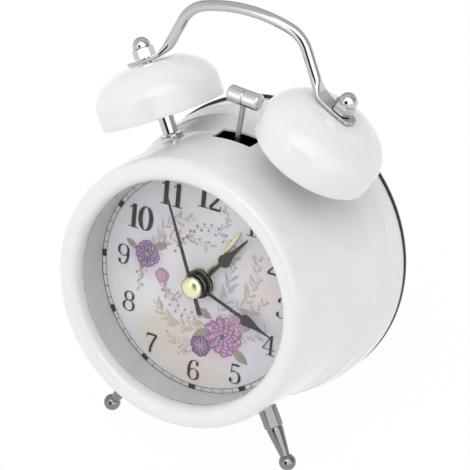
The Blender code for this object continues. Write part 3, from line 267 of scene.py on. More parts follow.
# Lens: a flat disc of clear acrylic with a polished edge, cut from sheet and held in the mouth of the dial ring
# behind the bezel's lip.
def clear_finish(name, tint, ior):
    """Clear glazing that lets the light through to what is behind it."""
    finish, tree = new_finish(name)
    cloud = add(tree, "ShaderNodeGroup", node_tree=FINE_MARKS).outputs["Cloud"]
    shader = feed(tree, tree.nodes["Principled BSDF"], {
        "Base Color": tint, "Transmission Weight": 1, "IOR": ior,
        "Roughness": ranged(tree, cloud, (0, 1), (0, 0.02))})
    path = add(tree, "ShaderNodeLightPath").outputs
    unseen = reckoned(tree, "MAXIMUM", path["Is Shadow Ray"], path["Is Diffuse Ray"])
    through = add(tree, "ShaderNodeBsdfTransparent").outputs[0]
    mixed = add(tree, "ShaderNodeMixShader", {"Fac": unseen, 1: shader.outputs[0], 2: through})
    feed(tree, tree.nodes["Material Output"], {"Surface": mixed.outputs[0]})
    return finish


CLEAR_LENS = clear_finish("clear_lens", (0.99, 1, 1, 1), 1.15)
LENS_RADIUS, LENS_FRONT, LENS_BACK, LENS_EDGE = 33.35, 1.2, 1.8, 0.1
DISC_STEPS = 160
lens = turned([(0, LENS_FRONT), (LENS_RADIUS - LENS_EDGE, LENS_FRONT), (LENS_RADIUS, LENS_FRONT + LENS_EDGE),
               (LENS_RADIUS, LENS_BACK - LENS_EDGE), (LENS_RADIUS - LENS_EDGE, LENS_BACK),
               (0, LENS_BACK)], DISC_STEPS)
settle(piece("lens_disc", lens, FACE, CLEAR_LENS), "clock_body", "clear_lens", "lens")

# Dial ring: the grey moulded wall between the lens and the dial, with a flange that holds the dial down. The
# lens sits in its front mouth.
GREY_PLASTIC = surface("grey_plastic", (0.63, 0.63, 0.63), (0.53, 0.53, 0.53), 0.4, 0.55, cloud=140,
                       specks=2500, relief=0.2)
RING_BORE, RING_SIDE, FLANGE_RADIUS = 33.4, 35.1, 38.8
RING_FRONT, FLANGE_FRONT, RING_BACK = 1.05, 10.1, 11.5
ring = turned([(RING_BORE, RING_FRONT + 0.1), (RING_BORE + 0.1, RING_FRONT), (RING_SIDE, RING_FRONT),
               (RING_SIDE, FLANGE_FRONT), (FLANGE_RADIUS, FLANGE_FRONT), (FLANGE_RADIUS, RING_BACK),
               (RING_BORE + 0.1, RING_BACK), (RING_BORE, RING_BACK - 0.1)], DISC_STEPS)
settle(piece("dial_wall", ring, FACE, GREY_PLASTIC), "clock_body", "grey_plastic", "dial_ring")

# Dial: a printed paper card on a thin metal disc, with a bored middle for the hand pipes. The paper is a pale
# lilac grey with soft washes of colour that bleed into it.
DIAL_FACE, DIAL_BACK = 11.8, 12.3
DIAL_RADIUS, DIAL_BORE = 38.8, 2.85


def wash_group():
    """A ragged round wash of ink on the card: its place and radius are shares of the card's own map."""
    tree = bpy.data.node_groups.new("ink_wash", "ShaderNodeTree")
    inputs_of(tree, "Vector", {"Centre": (0.5, 0.5, 0)})
    inputs_of(tree, "Float", {"Radius": 0.2, "Ragged": 0.5})
    tree.interface.new_socket("Mask", in_out="OUTPUT", socket_type="NodeSocketFloat")
    given = add(tree, "NodeGroupInput").outputs
    where = add(tree, "ShaderNodeTexCoord").outputs["UV"]
    away = add(tree, "ShaderNodeVectorMath", {0: where, 1: given["Centre"]}, operation="DISTANCE")
    share = reckoned(tree, "DIVIDE", away.outputs["Value"], given["Radius"])
    blot = add(tree, "ShaderNodeTexNoise", {"Vector": where, "Scale": 9, "Detail": 6, "Roughness": 0.65})
    centred = reckoned(tree, "SUBTRACT", blot.outputs["Fac"], 0.5)
    pushed = reckoned(tree, "MULTIPLY_ADD", centred, given["Ragged"], share)
    add(tree, "NodeGroupOutput", {"Mask": ranged(tree, pushed, (1.1, 0.35), (0, 1), "SMOOTHSTEP")})
    return tree


INK_WASH = wash_group()
WASH_RAGGED = 1.2
WASHES = (
    ((0.50, 0.20), 0.20, (0.72, 0.56, 0.46), 0.45), ((0.30, 0.66), 0.15, (0.66, 0.54, 0.65), 0.35),
    ((0.72, 0.68), 0.14, (0.74, 0.62, 0.60), 0.30), ((0.74, 0.34), 0.13, (0.64, 0.52, 0.66), 0.30),
    ((0.22, 0.36), 0.15, (0.82, 0.81, 0.82), 0.60), ((0.46, 0.86), 0.13, (0.78, 0.70, 0.64), 0.35),
    ((0.62, 0.30), 0.12, (0.52, 0.34, 0.52), 0.38), ((0.33, 0.24), 0.12, (0.66, 0.52, 0.36), 0.40),
    ((0.26, 0.54), 0.09, (0.50, 0.32, 0.54), 0.42), ((0.60, 0.78), 0.10, (0.82, 0.81, 0.84), 0.60),
    ((0.42, 0.60), 0.12, (0.82, 0.80, 0.82), 0.50), ((0.78, 0.52), 0.10, (0.76, 0.60, 0.48), 0.40),
)
DIAL_PAPER = surface("dial_paper", (0.76, 0.755, 0.78), (0.67, 0.66, 0.70), 0.55, 0.7, cloud=90, specks=2600,
                     relief=0.1)
tree = DIAL_PAPER.node_tree
paper_colour = tree.nodes["colour"].outputs["Result"]
for (across, rise), radius, tint, strength in WASHES:
    wash = add(tree, "ShaderNodeGroup", {"Centre": (across, rise, 0), "Radius": radius, "Ragged": WASH_RAGGED},
               node_tree=INK_WASH)
    share = reckoned(tree, "MULTIPLY", wash.outputs["Mask"], strength)
    paper_colour = laid_over(tree, share, paper_colour, (*tint, 1))
feed(tree, tree.nodes["Principled BSDF"], {"Base Color": paper_colour})
card = turned([(DIAL_BORE, DIAL_FACE), (DIAL_RADIUS - 0.1, DIAL_FACE), (DIAL_RADIUS, DIAL_FACE + 0.1),
               (DIAL_RADIUS, DIAL_BACK), (DIAL_BORE, DIAL_BACK)], DISC_STEPS)
chart = card.loops.layers.uv.new("card")
for face in card.faces:
    for loop in face.loops:
        loop[chart].uv = (0.5 + loop.vert.co.x / 2 / DIAL_RADIUS, 0.5 - loop.vert.co.y / 2 / DIAL_RADIUS)
settle(piece("dial_card", card, FACE, DIAL_PAPER), "clock_body", "dial_print", "dial")

# Dial print: a plain botanical design of open daisies, leafy sprays and berries in mauve, pink, tan and olive,
# made for this clock and laid down in layers of ink a few hundredths of a millimetre thick.
INK = surface("dial_ink", (1, 1, 1), (0.70, 0.70, 0.70), 0.5, 0.65, cloud=700, specks=3000, relief=0.1)
tree = INK.node_tree
ink_colour = add(tree, "ShaderNodeVertexColor", layer_name="ink").outputs["Color"]
mottled = laid_over(tree, 1, ink_colour, tree.nodes["colour"].outputs["Result"], "MULTIPLY")
feed(tree, tree.nodes["Principled BSDF"], {"Base Color": mottled})
DIAL_PLANE = Matrix.Rotation(math.radians(90), 4, "X")
PAPER_TONE = (0.72, 0.71, 0.74)


class Print:
    """Flat inked shapes on the card, in millimetres across and up the dial, each on its own thin layer."""

    def __init__(self, name, lift, step):
        self.name = name
        self.step = step
        self.shape = bmesh.new()
        self.ink = self.shape.loops.layers.float_color.new("ink")
        self.lift = lift

    def inked(self, face, colour, weight):
        """Gives a face its ink, paler where its weight lets the paper through."""
        shade = [paper * (1 - weight) + tone * weight for paper, tone in zip(PAPER_TONE, colour)]
        for loop in face.loops:
            loop[self.ink] = (*shade, 1)

    def fill(self, corners, colour, weight=1.0):
        """One inked area."""
        self.lift += self.step
        face = self.shape.faces.new([self.shape.verts.new((x, y, self.lift)) for x, y in corners])
        self.inked(face, colour, weight)

    def ribbon(self, points, widths, colour, weight=1.0):
        """A line of changing width along points."""
        sides = ([], [])
        for i, (x, y) in enumerate(points):
            ax, ay = points[max(i - 1, 0)]
            bx, by = points[min(i + 1, len(points) - 1)]
            length = math.hypot(bx - ax, by - ay) or 1
            half = (widths[i] if isinstance(widths, list) else widths) / 2
            sides[0].append((x - (by - ay) / length * half, y + (bx - ax) / length * half))
            sides[1].append((x + (by - ay) / length * half, y - (bx - ax) / length * half))
        self.lift += self.step
        left, right = [[self.shape.verts.new((x, y, self.lift)) for x, y in side] for side in sides]
        for i in range(len(points) - 1):
            self.inked(self.shape.faces.new((right[i], right[i + 1], left[i + 1], left[i])), colour, weight)

    def done(self):
        """The finished print, set on the card."""
        bmesh.ops.recalc_face_normals(self.shape, faces=self.shape.faces)
        for face in self.shape.faces:
            face.normal_update()
            if face.normal.z < 0:
                face.normal_flip()
        mesh = bpy.data.meshes.new(self.name)
        self.shape.to_mesh(mesh)
        self.shape.free()
        mesh.transform(CLOCK @ Matrix.Translation((0, DIAL_FACE, 0)) @ DIAL_PLANE)
        mesh.materials.append(INK)
        settle(shown(self.name, mesh), "clock_body", "dial_print")


def planted(points, at, angle):
    """Points along and beside a stalk, set on the dial where it starts and at its angle in degrees."""
    way = math.radians(angle)
    return [(at[0] + x * math.cos(way) - y * math.sin(way), at[1] + x * math.sin(way) + y * math.cos(way))
            for x, y in points]


LEAF_TIP = 8


def leaf(at, angle, length, width, bend=0.0):
    """The outline of a pointed leaf that grows from a point at an angle in degrees."""
    right, left = [], []
    for i in range(LEAF_TIP + 1):
        t = i / LEAF_TIP
        half = width / 2 * math.sin(math.pi * t) ** 0.8 if 0 < t < 1 else 0
        x, y = length * t, bend * length * t * t
        right.append((x, y - half))
        if 0 < t < 1:
            left.append((x, y + half))
    return planted(right + left[::-1], at, angle)


def curve_through(points, steps=10):
    """A smooth line through points."""
    ends = [points[0]] + list(points) + [points[-1]]
    smooth = []
    for a, b, c, d in zip(ends, ends[1:], ends[2:], ends[3:]):
        for i in range(steps):
            t = i / steps
            smooth.append(tuple(0.5 * (2 * q + (r - p) * t + (2 * p - 5 * q + 4 * r - s) * t * t
                                       + (3 * q - p - 3 * r + s) * t ** 3) for p, q, r, s in zip(a, b, c, d)))
    return smooth + [points[-1]]


PLUM, MAUVE, PINK, ROSE = (0.11, 0.035, 0.15), (0.32, 0.14, 0.35), (0.50, 0.20, 0.38), (0.60, 0.36, 0.47)
TAN, PEACH, OLIVE, SLATE = (0.55, 0.38, 0.24), (0.68, 0.48, 0.36), (0.26, 0.25, 0.14), (0.40, 0.36, 0.46)
VEIN_INK = (0.12, 0.12, 0.07)
chance = random.Random(7)


def spray(design, stem, count, length, colour, other, weight):
    """A curved twig with loose leaves in two mixed inks and a bud here and there."""
    line = curve_through(stem, 12)
    design.ribbon(line, [0.26 - 0.18 * i / len(line) for i in range(len(line))], colour, weight)
    for i in range(count):
        at = int((0.06 + 0.92 * (i + chance.uniform(-0.3, 0.3)) / count) * (len(line) - 2))
        at = min(max(at, 0), len(line) - 2)
        (ax, ay), (bx, by) = line[at], line[min(at + 2, len(line) - 1)]
        way = math.degrees(math.atan2(by - ay, bx - ax))
        side = 1 if i % 2 else -1
        reach = length * (1 - 0.45 * i / count) * chance.uniform(0.55, 1.25)
        turn = side * chance.uniform(24, 66)
        mix = chance.random()
        ink = [a * (1 - mix) + b * mix for a, b in zip(colour, other)]
        full = weight * chance.uniform(0.5, 1)
        width = reach * chance.uniform(0.24, 0.4)
        blade = leaf(line[at], way + turn, reach, width, -side * chance.uniform(0.02, 0.25))
        vein = leaf(line[at], way + turn, reach * 0.85, reach * 0.12, -side * 0.1)
        design.fill(blade, ink, full)
        design.fill(vein, ink, min(full * 1.5, 1))
        if i % 5 == 2:
            design.fill(arc(blade[LEAF_TIP], (0.42, 0.42), 0, 324, 9), other, min(weight * 1.4, 1))


def petal(at, angle, length, width):
    """The outline of a blunt petal, widest near its round end."""
    local = [(0, 0)]
    for i in range(1, 12):
        t = i / 12
        local.append((length * t, -width / 2 * math.sin(math.pi * t ** 1.8) ** 0.55))
    return planted(local + [(length, 0)] + [(x, -y) for x, y in reversed(local[1:])], at, angle)


def daisy(design, centre, radius, outer, inner, eye):
    """An open round flower of rings of blunt petals that darken towards a dotted eye."""
    rings = ((1.0, 13, 0.52), (0.86, 12, 0.50), (0.68, 11, 0.52), (0.5, 9, 0.56), (0.34, 7, 0.62))
    for ring, (share, count, width) in enumerate(rings):
        depth = ring / (len(rings) - 1)
        for i in range(count):
            angle = 360 * (i + 0.5 * (ring % 2)) / count + chance.uniform(-6, 6)
            reach = radius * share * chance.uniform(0.92, 1.06)
            shade = chance.uniform(0.8, 1.25)
            tone = [(a * (1 - depth) + b * depth) * shade for a, b in zip(outer, inner)]
            design.fill(petal(centre, angle, reach, reach * width), [part * 0.42 for part in tone], 0.85)
            design.fill(petal(centre, angle, reach * 0.975, reach * width * 0.88), tone, 0.92)
            pale = [min(part * 1.25 + 0.05, 1) for part in tone]
            design.fill(petal(centre, angle + 2, reach * 0.93, reach * width * 0.45), pale, 0.6)
    for i in range(16):
        angle, away = math.tau * i * 0.382, radius * 0.13 * math.sqrt(i / 16)
        middle = (centre[0] + away * math.cos(angle), centre[1] + away * math.sin(angle))
        design.fill(arc(middle, (radius * 0.035, radius * 0.035), 0, 315, 7), eye, 0.9)


plumes = Print("print_plumes", 0.02, 0.0001)
for twig in (
    ([(6, -9), (9, 0), (9.5, 9), (12.5, 17)], 22, 4.6, SLATE, MAUVE, 0.34),
    ([(9, -8), (14.5, -2), (17.5, 6), (17.5, 14)], 20, 4.4, PEACH, TAN, 0.55),
    ([(9.5, -8), (16.5, -5.5), (21.5, 1)], 14, 4.0, TAN, ROSE, 0.55),
    ([(11, -11), (18, -12), (22.5, -7.5)], 12, 3.4, OLIVE, SLATE, 0.38),
    ([(4, -13), (-3, -15), (-10, -14), (-15.5, -9.5)], 22, 4.4, TAN, PEACH, 0.6),
    ([(3, -16), (-4, -20.5), (-9.5, -20)], 13, 3.8, PEACH, ROSE, 0.6),
    ([(2, -18.5), (-2.5, -22.5), (-5, -23)], 8, 3.0, OLIVE, TAN, 0.4),
    ([(-17, 4), (-12, 9.5), (-4, 12.5), (3.5, 11)], 20, 4.0, PEACH, ROSE, 0.6),
    ([(-17, 5), (-15, 11), (-10, 16.5), (-3, 19)], 17, 3.4, OLIVE, SLATE, 0.36),
    ([(-18, 0), (-20.5, -4), (-20, -8)], 9, 3.0, TAN, OLIVE, 0.5),
    ([(-14, -2), (-9.5, -6.5), (-6.5, -7)], 10, 2.8, OLIVE, MAUVE, 0.4),
    ([(4, 16), (7, 21), (5, 24)], 9, 3.2, SLATE, ROSE, 0.35),
):
    spray(plumes, *twig)
plumes.done()
blooms = Print("print_blooms", 0.08, 0.0003)
for at, angle, length in (((5, -14), 205, 7.5), ((4.5, -10), 160, 6.0), ((12, -17), 320, 6.5),
                          ((-19, 3), 250, 5.0), ((-17, 6), 20, 5.5), ((-22, 4), 140, 4.5)):
    blooms.fill(leaf(at, angle, length, length * 0.45, 0.1), OLIVE, 0.75)
    blooms.ribbon([at, leaf(at, angle, length * 0.9, 0.3, 0.1)[LEAF_TIP]], 0.12, VEIN_INK, 0.7)
for flower in (((8.5, -14.5), 6.3, PINK, MAUVE, PLUM), ((1.5, -19.5), 3.4, PLUM, MAUVE, TAN),
               ((13.8, -8.6), 3.1, ROSE, PINK, PLUM), ((-18.5, 3.5), 4.2, MAUVE, PLUM, TAN),
               ((-13.0, -1.5), 2.3, PINK, ROSE, PLUM)):
    daisy(blooms, *flower)
blooms.done()
berries = Print("print_berries", 0.08, 0.0001)
for stem, colour in (([(-9, 8), (-4, 15), (2, 17), (8, 14)], MAUVE),
                     ([(-12, -5), (-8, -10), (-2, -11), (2, -9)], PINK)):
    line = curve_through(stem, 8)
    berries.ribbon(line, 0.12, OLIVE, 0.5)
    for x, y in line[::3]:
        for side in (-1, 1):
            size = chance.uniform(0.35, 0.6)
            berries.fill(arc((x + side * 0.4, y + side * 1.0), (size, size), 0, 324, 9), colour, 0.7)
berries.done()

# Numerals and minute track: printed last, in near-black ink, with thick stems and hairline curves. The track's
# ticks and five-minute blocks stand on two thin circles.
NUMERAL_INK = (0.040, 0.040, 0.046)
LOOP = [(0.5 + 0.5 * math.sin(math.tau * i / 16), 0.5 + 0.5 * math.cos(math.tau * i / 16)) for i in range(17)]


def loop(left, right, low, high):
    """An upright oval between four limits."""
    return [(left + (right - left) * x, low + (high - low) * y) for x, y in LOOP]


SIX = [(0.43, 0.80), (0.40, 0.92), (0.29, 0.975), (0.16, 0.88), (0.085, 0.62), (0.08, 0.35)]
STROKES = {
    "0": [loop(0.07, 0.49, 0.02, 0.98)],
    "1": [[(0.28, 0.03), (0.28, 0.5), (0.28, 0.97)], [(0.10, 0.80), (0.20, 0.86), (0.27, 0.96)]],
    "2": [[(0.11, 0.72), (0.12, 0.86), (0.26, 0.97), (0.42, 0.88), (0.44, 0.70), (0.34, 0.47), (0.17, 0.22),
           (0.07, 0.06)]],
    "3": [[(0.11, 0.78), (0.15, 0.92), (0.27, 0.975), (0.40, 0.90), (0.425, 0.74), (0.36, 0.58), (0.24, 0.53)],
          [(0.24, 0.53), (0.40, 0.47), (0.465, 0.28), (0.41, 0.09), (0.26, 0.02), (0.12, 0.07), (0.09, 0.20)]],
    "4": [[(0.36, 0.96), (0.20, 0.62), (0.04, 0.28)], [(0.04, 0.28), (0.30, 0.28), (0.55, 0.28)],
          [(0.37, 0.03), (0.37, 0.5), (0.37, 0.97)]],
    "5": [[(0.13, 0.95), (0.12, 0.74), (0.105, 0.53)],
          [(0.105, 0.53), (0.24, 0.62), (0.41, 0.53), (0.465, 0.31), (0.41, 0.10), (0.26, 0.02), (0.12, 0.06),
           (0.09, 0.19)]],
    "6": [SIX, loop(0.08, 0.48, 0.02, 0.56)],
    "7": [[(0.48, 0.92), (0.36, 0.62), (0.27, 0.30), (0.25, 0.03)]],
    "8": [loop(0.11, 0.45, 0.53, 0.98), loop(0.07, 0.49, 0.02, 0.54)],
    "9": [[(0.56 - x, 1 - y) for x, y in SIX], loop(0.08, 0.48, 0.44, 0.98)],
}
HAIRLINES = {"1": 1, "4": 0, "5": 0}
BALLS = {"2": [(0.12, 0.73)], "3": [(0.12, 0.79), (0.10, 0.20)], "5": [(0.10, 0.19)], "6": [(0.42, 0.81)],
         "9": [(0.14, 0.19)]}
BARS = {
    "1": [(0.09, 0.0, 0.47, 0.035)], "4": [(0.20, 0.0, 0.54, 0.035)],
    "2": [(0.06, 0.0, 0.48, 0.09), (0.455, 0.05, 0.49, 0.22)],
    "5": [(0.12, 0.88, 0.43, 0.975)], "7": [(0.08, 0.88, 0.50, 0.975), (0.065, 0.76, 0.10, 0.95)],
}
FIGURE_WIDTH, ONE_WIDTH = 0.56, 0.46
BALL_RADIUS, THIN_STROKE = 0.07, 0.035


def digit(design, sign, x, y, height, breadth, boldness):
    """One numeral of a height, with its lower left corner at a place on the dial."""
    thin, thick = THIN_STROKE * height, boldness * height
    for number, stroke in enumerate(STROKES[sign]):
        line = [(x + a * breadth, y + b * height) for a, b in curve_through(stroke, 6)]
        widths = []
        for i in range(len(line)):
            (ax, ay), (bx, by) = line[max(i - 1, 0)], line[min(i + 1, len(line) - 1)]
            steep = abs(by - ay) / (math.hypot(bx - ax, by - ay) or 1)
            widths.append(thin + (thick - thin) * steep ** 2.6)
        design.ribbon(line, thin * 1.3 if HAIRLINES.get(sign) == number else widths, NUMERAL_INK)
    ball = (BALL_RADIUS * height, BALL_RADIUS * height)
    for a, b in BALLS.get(sign, ()):
        design.fill(arc((x + a * breadth, y + b * height), ball, 0, 337.5, 15), NUMERAL_INK)
    for a, b, c, d in BARS.get(sign, ()):
        design.fill([(x + a * breadth, y + b * height), (x + c * breadth, y + b * height),
                     (x + c * breadth, y + d * height), (x + a * breadth, y + d * height)], NUMERAL_INK)


numerals = Print("print_numerals", 0.2, 0.0003)
HOURS = {12: (26.3, 0.8), 11: (26.9, 332.8), 10: (26.0, 302.8), 9: (26.4, 272.8), 8: (26.5, 241.5),
         7: (27.7, 212.1), 6: (27.5, 179.9), 5: (28.1, 150.8), 4: (26.6, 117.8), 3: (26.7, 90.4),
         2: (25.5, 62.1), 1: (25.7, 33.5)}
ONE_FIGURE, TWO_FIGURES = (6.3, 7.9, 0.125), (7.4, 8.6, 0.19)
for hour, (away, angle) in HOURS.items():
    signs = str(hour)
    height, breadth, boldness = ONE_FIGURE if hour < 10 else TWO_FIGURES
    widths = [ONE_WIDTH if sign == "1" else FIGURE_WIDTH for sign in signs]
    x = away * math.sin(math.radians(angle)) - sum(widths) * breadth / 2
    y = away * math.cos(math.radians(angle)) - height / 2
    for sign, width in zip(signs, widths):
        digit(numerals, sign, x, y, height, breadth, boldness)
        x += width * breadth
for radius in (32.1, 33.4):
    numerals.ribbon(arc((0, 0), (radius, radius), 0, 360, 180), 0.14, NUMERAL_INK)
numerals.done()


def grown(name, tree, values, place, finish):
    """A mesh object that a Geometry Nodes tree makes in millimetres from its named inputs."""
    made = shown(name, bpy.data.meshes.new(name))
    maker = made.modifiers.new(name, "NODES")
    maker.node_group = tree
    for item in tree.interface.items_tree:
        if item.item_type == "SOCKET" and item.in_out == "INPUT" and item.name in values:
            maker[item.identifier] = values[item.name]
    frozen(made)
    made.data.transform(CLOCK @ place)
    made.data.materials.clear()
    made.data.materials.append(finish)
    return made


def end_tree(tree, made, finish):
    """The end of a Geometry Nodes tree: its copies made real and given their material."""
    real = add(tree, "GeometryNodeRealizeInstances", {0: made})
    painted = add(tree, "GeometryNodeSetMaterial", {"Geometry": real.outputs[0], "Material": finish})
    add(tree, "NodeGroupOutput", {0: painted.outputs[0]})


def track_tree():
    """Ticks round a circle, with a broad block in place of every fifth."""
    tree = bpy.data.node_groups.new("minute_track", "GeometryNodeTree")
    inputs_of(tree, "Float", {"Radius": 32.75, "Tick Length": 1.3, "Tick Width": 0.14, "Block Width": 2.2})
    inputs_of(tree, "Int", {"Count": 60})
    inputs_of(tree, "Material", {"Ink": INK})
    tree.interface.new_socket("Geometry", in_out="OUTPUT", socket_type="NodeSocketGeometry")
    given = add(tree, "NodeGroupInput").outputs
    circle = add(tree, "GeometryNodeMeshCircle", {"Vertices": given["Count"], "Radius": given["Radius"]})
    fifth = reckoned(tree, "MODULO", add(tree, "GeometryNodeInputIndex").outputs[0], 5)
    is_block = add(tree, "FunctionNodeCompare", {"A": fifth, "B": 0.5}, data_type="FLOAT",
                   operation="LESS_THAN").outputs[0]
    is_tick = add(tree, "FunctionNodeBooleanMath", {0: is_block}, operation="NOT").outputs[0]
    outward = add(tree, "GeometryNodeInputPosition").outputs[0]
    turn = add(tree, "FunctionNodeAlignRotationToVector", {"Vector": outward}, axis="X").outputs[0]
    both = add(tree, "GeometryNodeJoinGeometry")
    for width, chosen in (("Tick Width", is_tick), ("Block Width", is_block)):
        mark = add(tree, "GeometryNodeMeshGrid", {"Vertices X": 2, "Vertices Y": 2,
                                                  "Size X": given["Tick Length"], "Size Y": given[width]})
        placed = add(tree, "GeometryNodeInstanceOnPoints", {
            "Points": circle.outputs["Mesh"], "Selection": chosen, "Instance": mark.outputs["Mesh"],
            "Rotation": turn})
        feed(tree, both, {0: placed.outputs[0]})
    end_tree(tree, both.outputs[0], given["Ink"])
    return tree


track_place = Matrix.Translation((0, DIAL_FACE - 0.21, 0)) @ DIAL_PLANE
track = grown("print_track", track_tree(), {"Radius": 32.75, "Count": 60}, track_place, INK)
tone = track.data.color_attributes.new("ink", "FLOAT_COLOR", "CORNER")
for corner in tone.data:
    corner.color = (*NUMERAL_INK, 1)
settle(track, "clock_body", "dial_print")


# Hands: stamped sheet, each pressed on its pipe with a round boss. Hour and minute hands are spades in black
# lacquer, the second hand is a needle with a counterweight, and the alarm hand is a flat pale gold strip.
def extruded(outline, low, high):
    """A flat outline in X and Y, extruded along Z."""
    shape = bmesh.new()
    face = shape.faces.new([shape.verts.new((x, y, low)) for x, y in outline])
    raised = bmesh.ops.extrude_face_region(shape, geom=[face])["geom"]
    tops = [item for item in raised if isinstance(item, bmesh.types.BMVert)]
    bmesh.ops.translate(shape, verts=tops, vec=(0, 0, high - low))
    return shape


def spade(stem, middle, radius, taper):
    """The outline of a spade hand: a thin stem, a round bulb and a long hollow taper of (half width, reach)."""
    start = math.degrees(math.asin(stem / radius))
    right = [(stem, 0), (stem, middle - radius * 1.15)]
    right += [(radius * math.sin(math.radians(a)), middle - radius * math.cos(math.radians(a)))
              for a in [start + (118 - start) * i / 10 for i in range(11)]]
    right += taper
    return [(x, -y) for x, y in right] + [(-x, -y) for x, y in reversed(right)]


HAND_BLACK = surface("black_hand", (0.036, 0.036, 0.034), (0.028, 0.028, 0.026), 0.26, 0.38, cloud=200,
                     specks=1800, relief=0.05)
HUB_BLACK = surface("hub_black", (0.016, 0.016, 0.016), (0.012, 0.012, 0.012), 0.08, 0.16, cloud=200,
                    specks=1500, relief=0.04, coat=0.6)
PALE_GOLD = surface("gold_hand", (0.74, 0.68, 0.47), (0.66, 0.60, 0.40), 0.3, 0.42, metallic=1, cloud=160,
                    specks=1800, relief=0.05)
HAND_SHEET, HAND_EDGE = 0.3, 0.09
needle_line = [(0.6, 0), (0.36, -24), (0.28, -29.4), (-0.28, -29.4), (-0.36, -24), (-0.6, 0), (-0.68, 5.0),
               (-0.76, 8.3), (0.76, 8.3), (0.68, 5.0)]
minute_line = spade(0.52, 17.8, 1.75, [(1.42, 19.3), (0.98, 20.8), (0.6, 22.5), (0.36, 24.4), (0.16, 26.5)])
hour_line = spade(0.58, 12.0, 1.95, [(1.35, 13.9), (0.85, 15.4), (0.62, 17.0), (0.48, 18.9), (0.30, 22.7)])
alarm_line = [(0.55, 0), (0.6, -18), (0.35, -21.6), (-0.35, -21.6), (-0.6, -18), (-0.55, 0)]
HANDS = (
    ("second_needle", "second_hand", needle_line, 336.9, 6.5, HAND_BLACK, HUB_BLACK, "black_hand",
     [(0.85, 6.45), (1.7, 6.45), (1.8, 6.55), (1.8, 6.9), (1.7, 7.0), (0.85, 7.0)]),
    ("minute_spade", "minute_hand", minute_line, 109.7, 8.9, HAND_BLACK, HUB_BLACK, "black_hand",
     [(1.3, 7.1), (2.0, 7.1), (2.1, 7.2), (2.1, 7.8), (3.3, 7.85), (3.5, 8.0), (3.5, 9.05), (3.35, 9.2),
      (1.3, 9.2)]),
    ("hour_spade", "hour_hand", hour_line, 39.7, 9.8, HAND_BLACK, HUB_BLACK, "black_hand",
     [(2.0, 9.45), (4.1, 9.45), (4.25, 9.6), (4.25, 10.65), (4.1, 10.8), (2.8, 10.8), (2.8, 10.0),
      (2.0, 10.0)]),
    ("alarm_strip", "alarm_hand", alarm_line, 31.4, 11.05, PALE_GOLD, PALE_GOLD, "gold_hand",
     [(2.7, 11.0), (4.45, 11.0), (4.55, 11.1), (4.55, 11.35), (4.45, 11.45), (2.7, 11.45)]),
)
for name, node, line, angle, depth, finish, boss_finish, slot, boss_line in HANDS:
    place = FACE @ Matrix.Rotation(math.radians(angle), 4, "Z")
    blade = bevelled(piece(name, extruded(line, depth, depth + HAND_SHEET), place, finish), HAND_EDGE, 2, 25)
    settle(blade, f"{node}_set", slot, node)
    settle(piece(f"{name}_boss", turned(boss_line, 72), place, boss_finish, 30), f"{node}_set", slot)

# Hand cap: a small domed button of polished brass, pressed on the end of the second arbor in front of the
# hands.
CAP_GOLD = surface("cap_gold", (0.92, 0.86, 0.58), (0.90, 0.82, 0.52), 0.24, 0.32, metallic=1, cloud=160)
CAP_RADIUS, CAP_RISE, CAP_BASE = 3.35, 1.5, 6.2
BRASS = surface("brass", (0.86, 0.76, 0.46), (0.78, 0.67, 0.38), 0.16, 0.26, metallic=1, cloud=220, specks=1600,
                relief=0.06)
cap = [(0, CAP_BASE - CAP_RISE)]
cap += [(CAP_RADIUS * math.sin(math.radians(a)), CAP_BASE - CAP_RISE * math.cos(math.radians(a)))
        for a in range(6, 91, 6)]
cap += [(CAP_RADIUS, 6.3), (CAP_RADIUS - 0.1, 6.4), (0.75, 6.4), (0.75, 5.6), (0, 5.6)]
settle(piece("hand_button", turned(cap, 72), FACE, CAP_GOLD), "second_hand_set", "brass", "hand_cap")

# Bells: two domes spun from thin steel with a short straight skirt and a flattened seat on top, enamelled
# white inside and out like the case.
BELL_PLANE = 24.6
BELL_TILT = math.radians(27.1)
BELL_SHIFT = 3.0
POST_SURFACE = 39.346
RIM = POST_SURFACE + 7.7
BELL_RADIUS, BELL_HEIGHT, BELL_SKIRT, BELL_WALL = 18.4, 16.3, 5.3, 0.8
SEAT_HEIGHT = BELL_SKIRT + (BELL_HEIGHT - BELL_SKIRT) * math.sqrt(1 - (8.6 / BELL_RADIUS) ** 2)
SEAT_KNEE, SEAT_EDGE = 8.9, 6.4
LIP_ROUND = 0.3
BORE = 1.7
SIDES = (("left", -1), ("right", 1))


def bell_place(sign):
    """A bell's axis on the clock, with its origin level with the middle of the dial."""
    return Matrix.Translation((sign * BELL_SHIFT, BELL_PLANE, 0)) @ Matrix.Rotation(sign * BELL_TILT, 4, "Y")


def dome_line(radius, height, seat):
    """The side of a bell from its skirt over its shoulder to the soft edge of the seat."""
    line = arc((0, BELL_SKIRT), (radius, height - BELL_SKIRT), 0, 55, 26)
    start, knee, end = Vector(line[-1]), Vector((SEAT_KNEE, seat)), Vector((SEAT_EDGE, seat))
    for i in range(1, 9):
        t = i / 8
        point = start * (1 - t) ** 2 + knee * 2 * t * (1 - t) + end * t ** 2
        line.append((point.x, point.y))
    return line


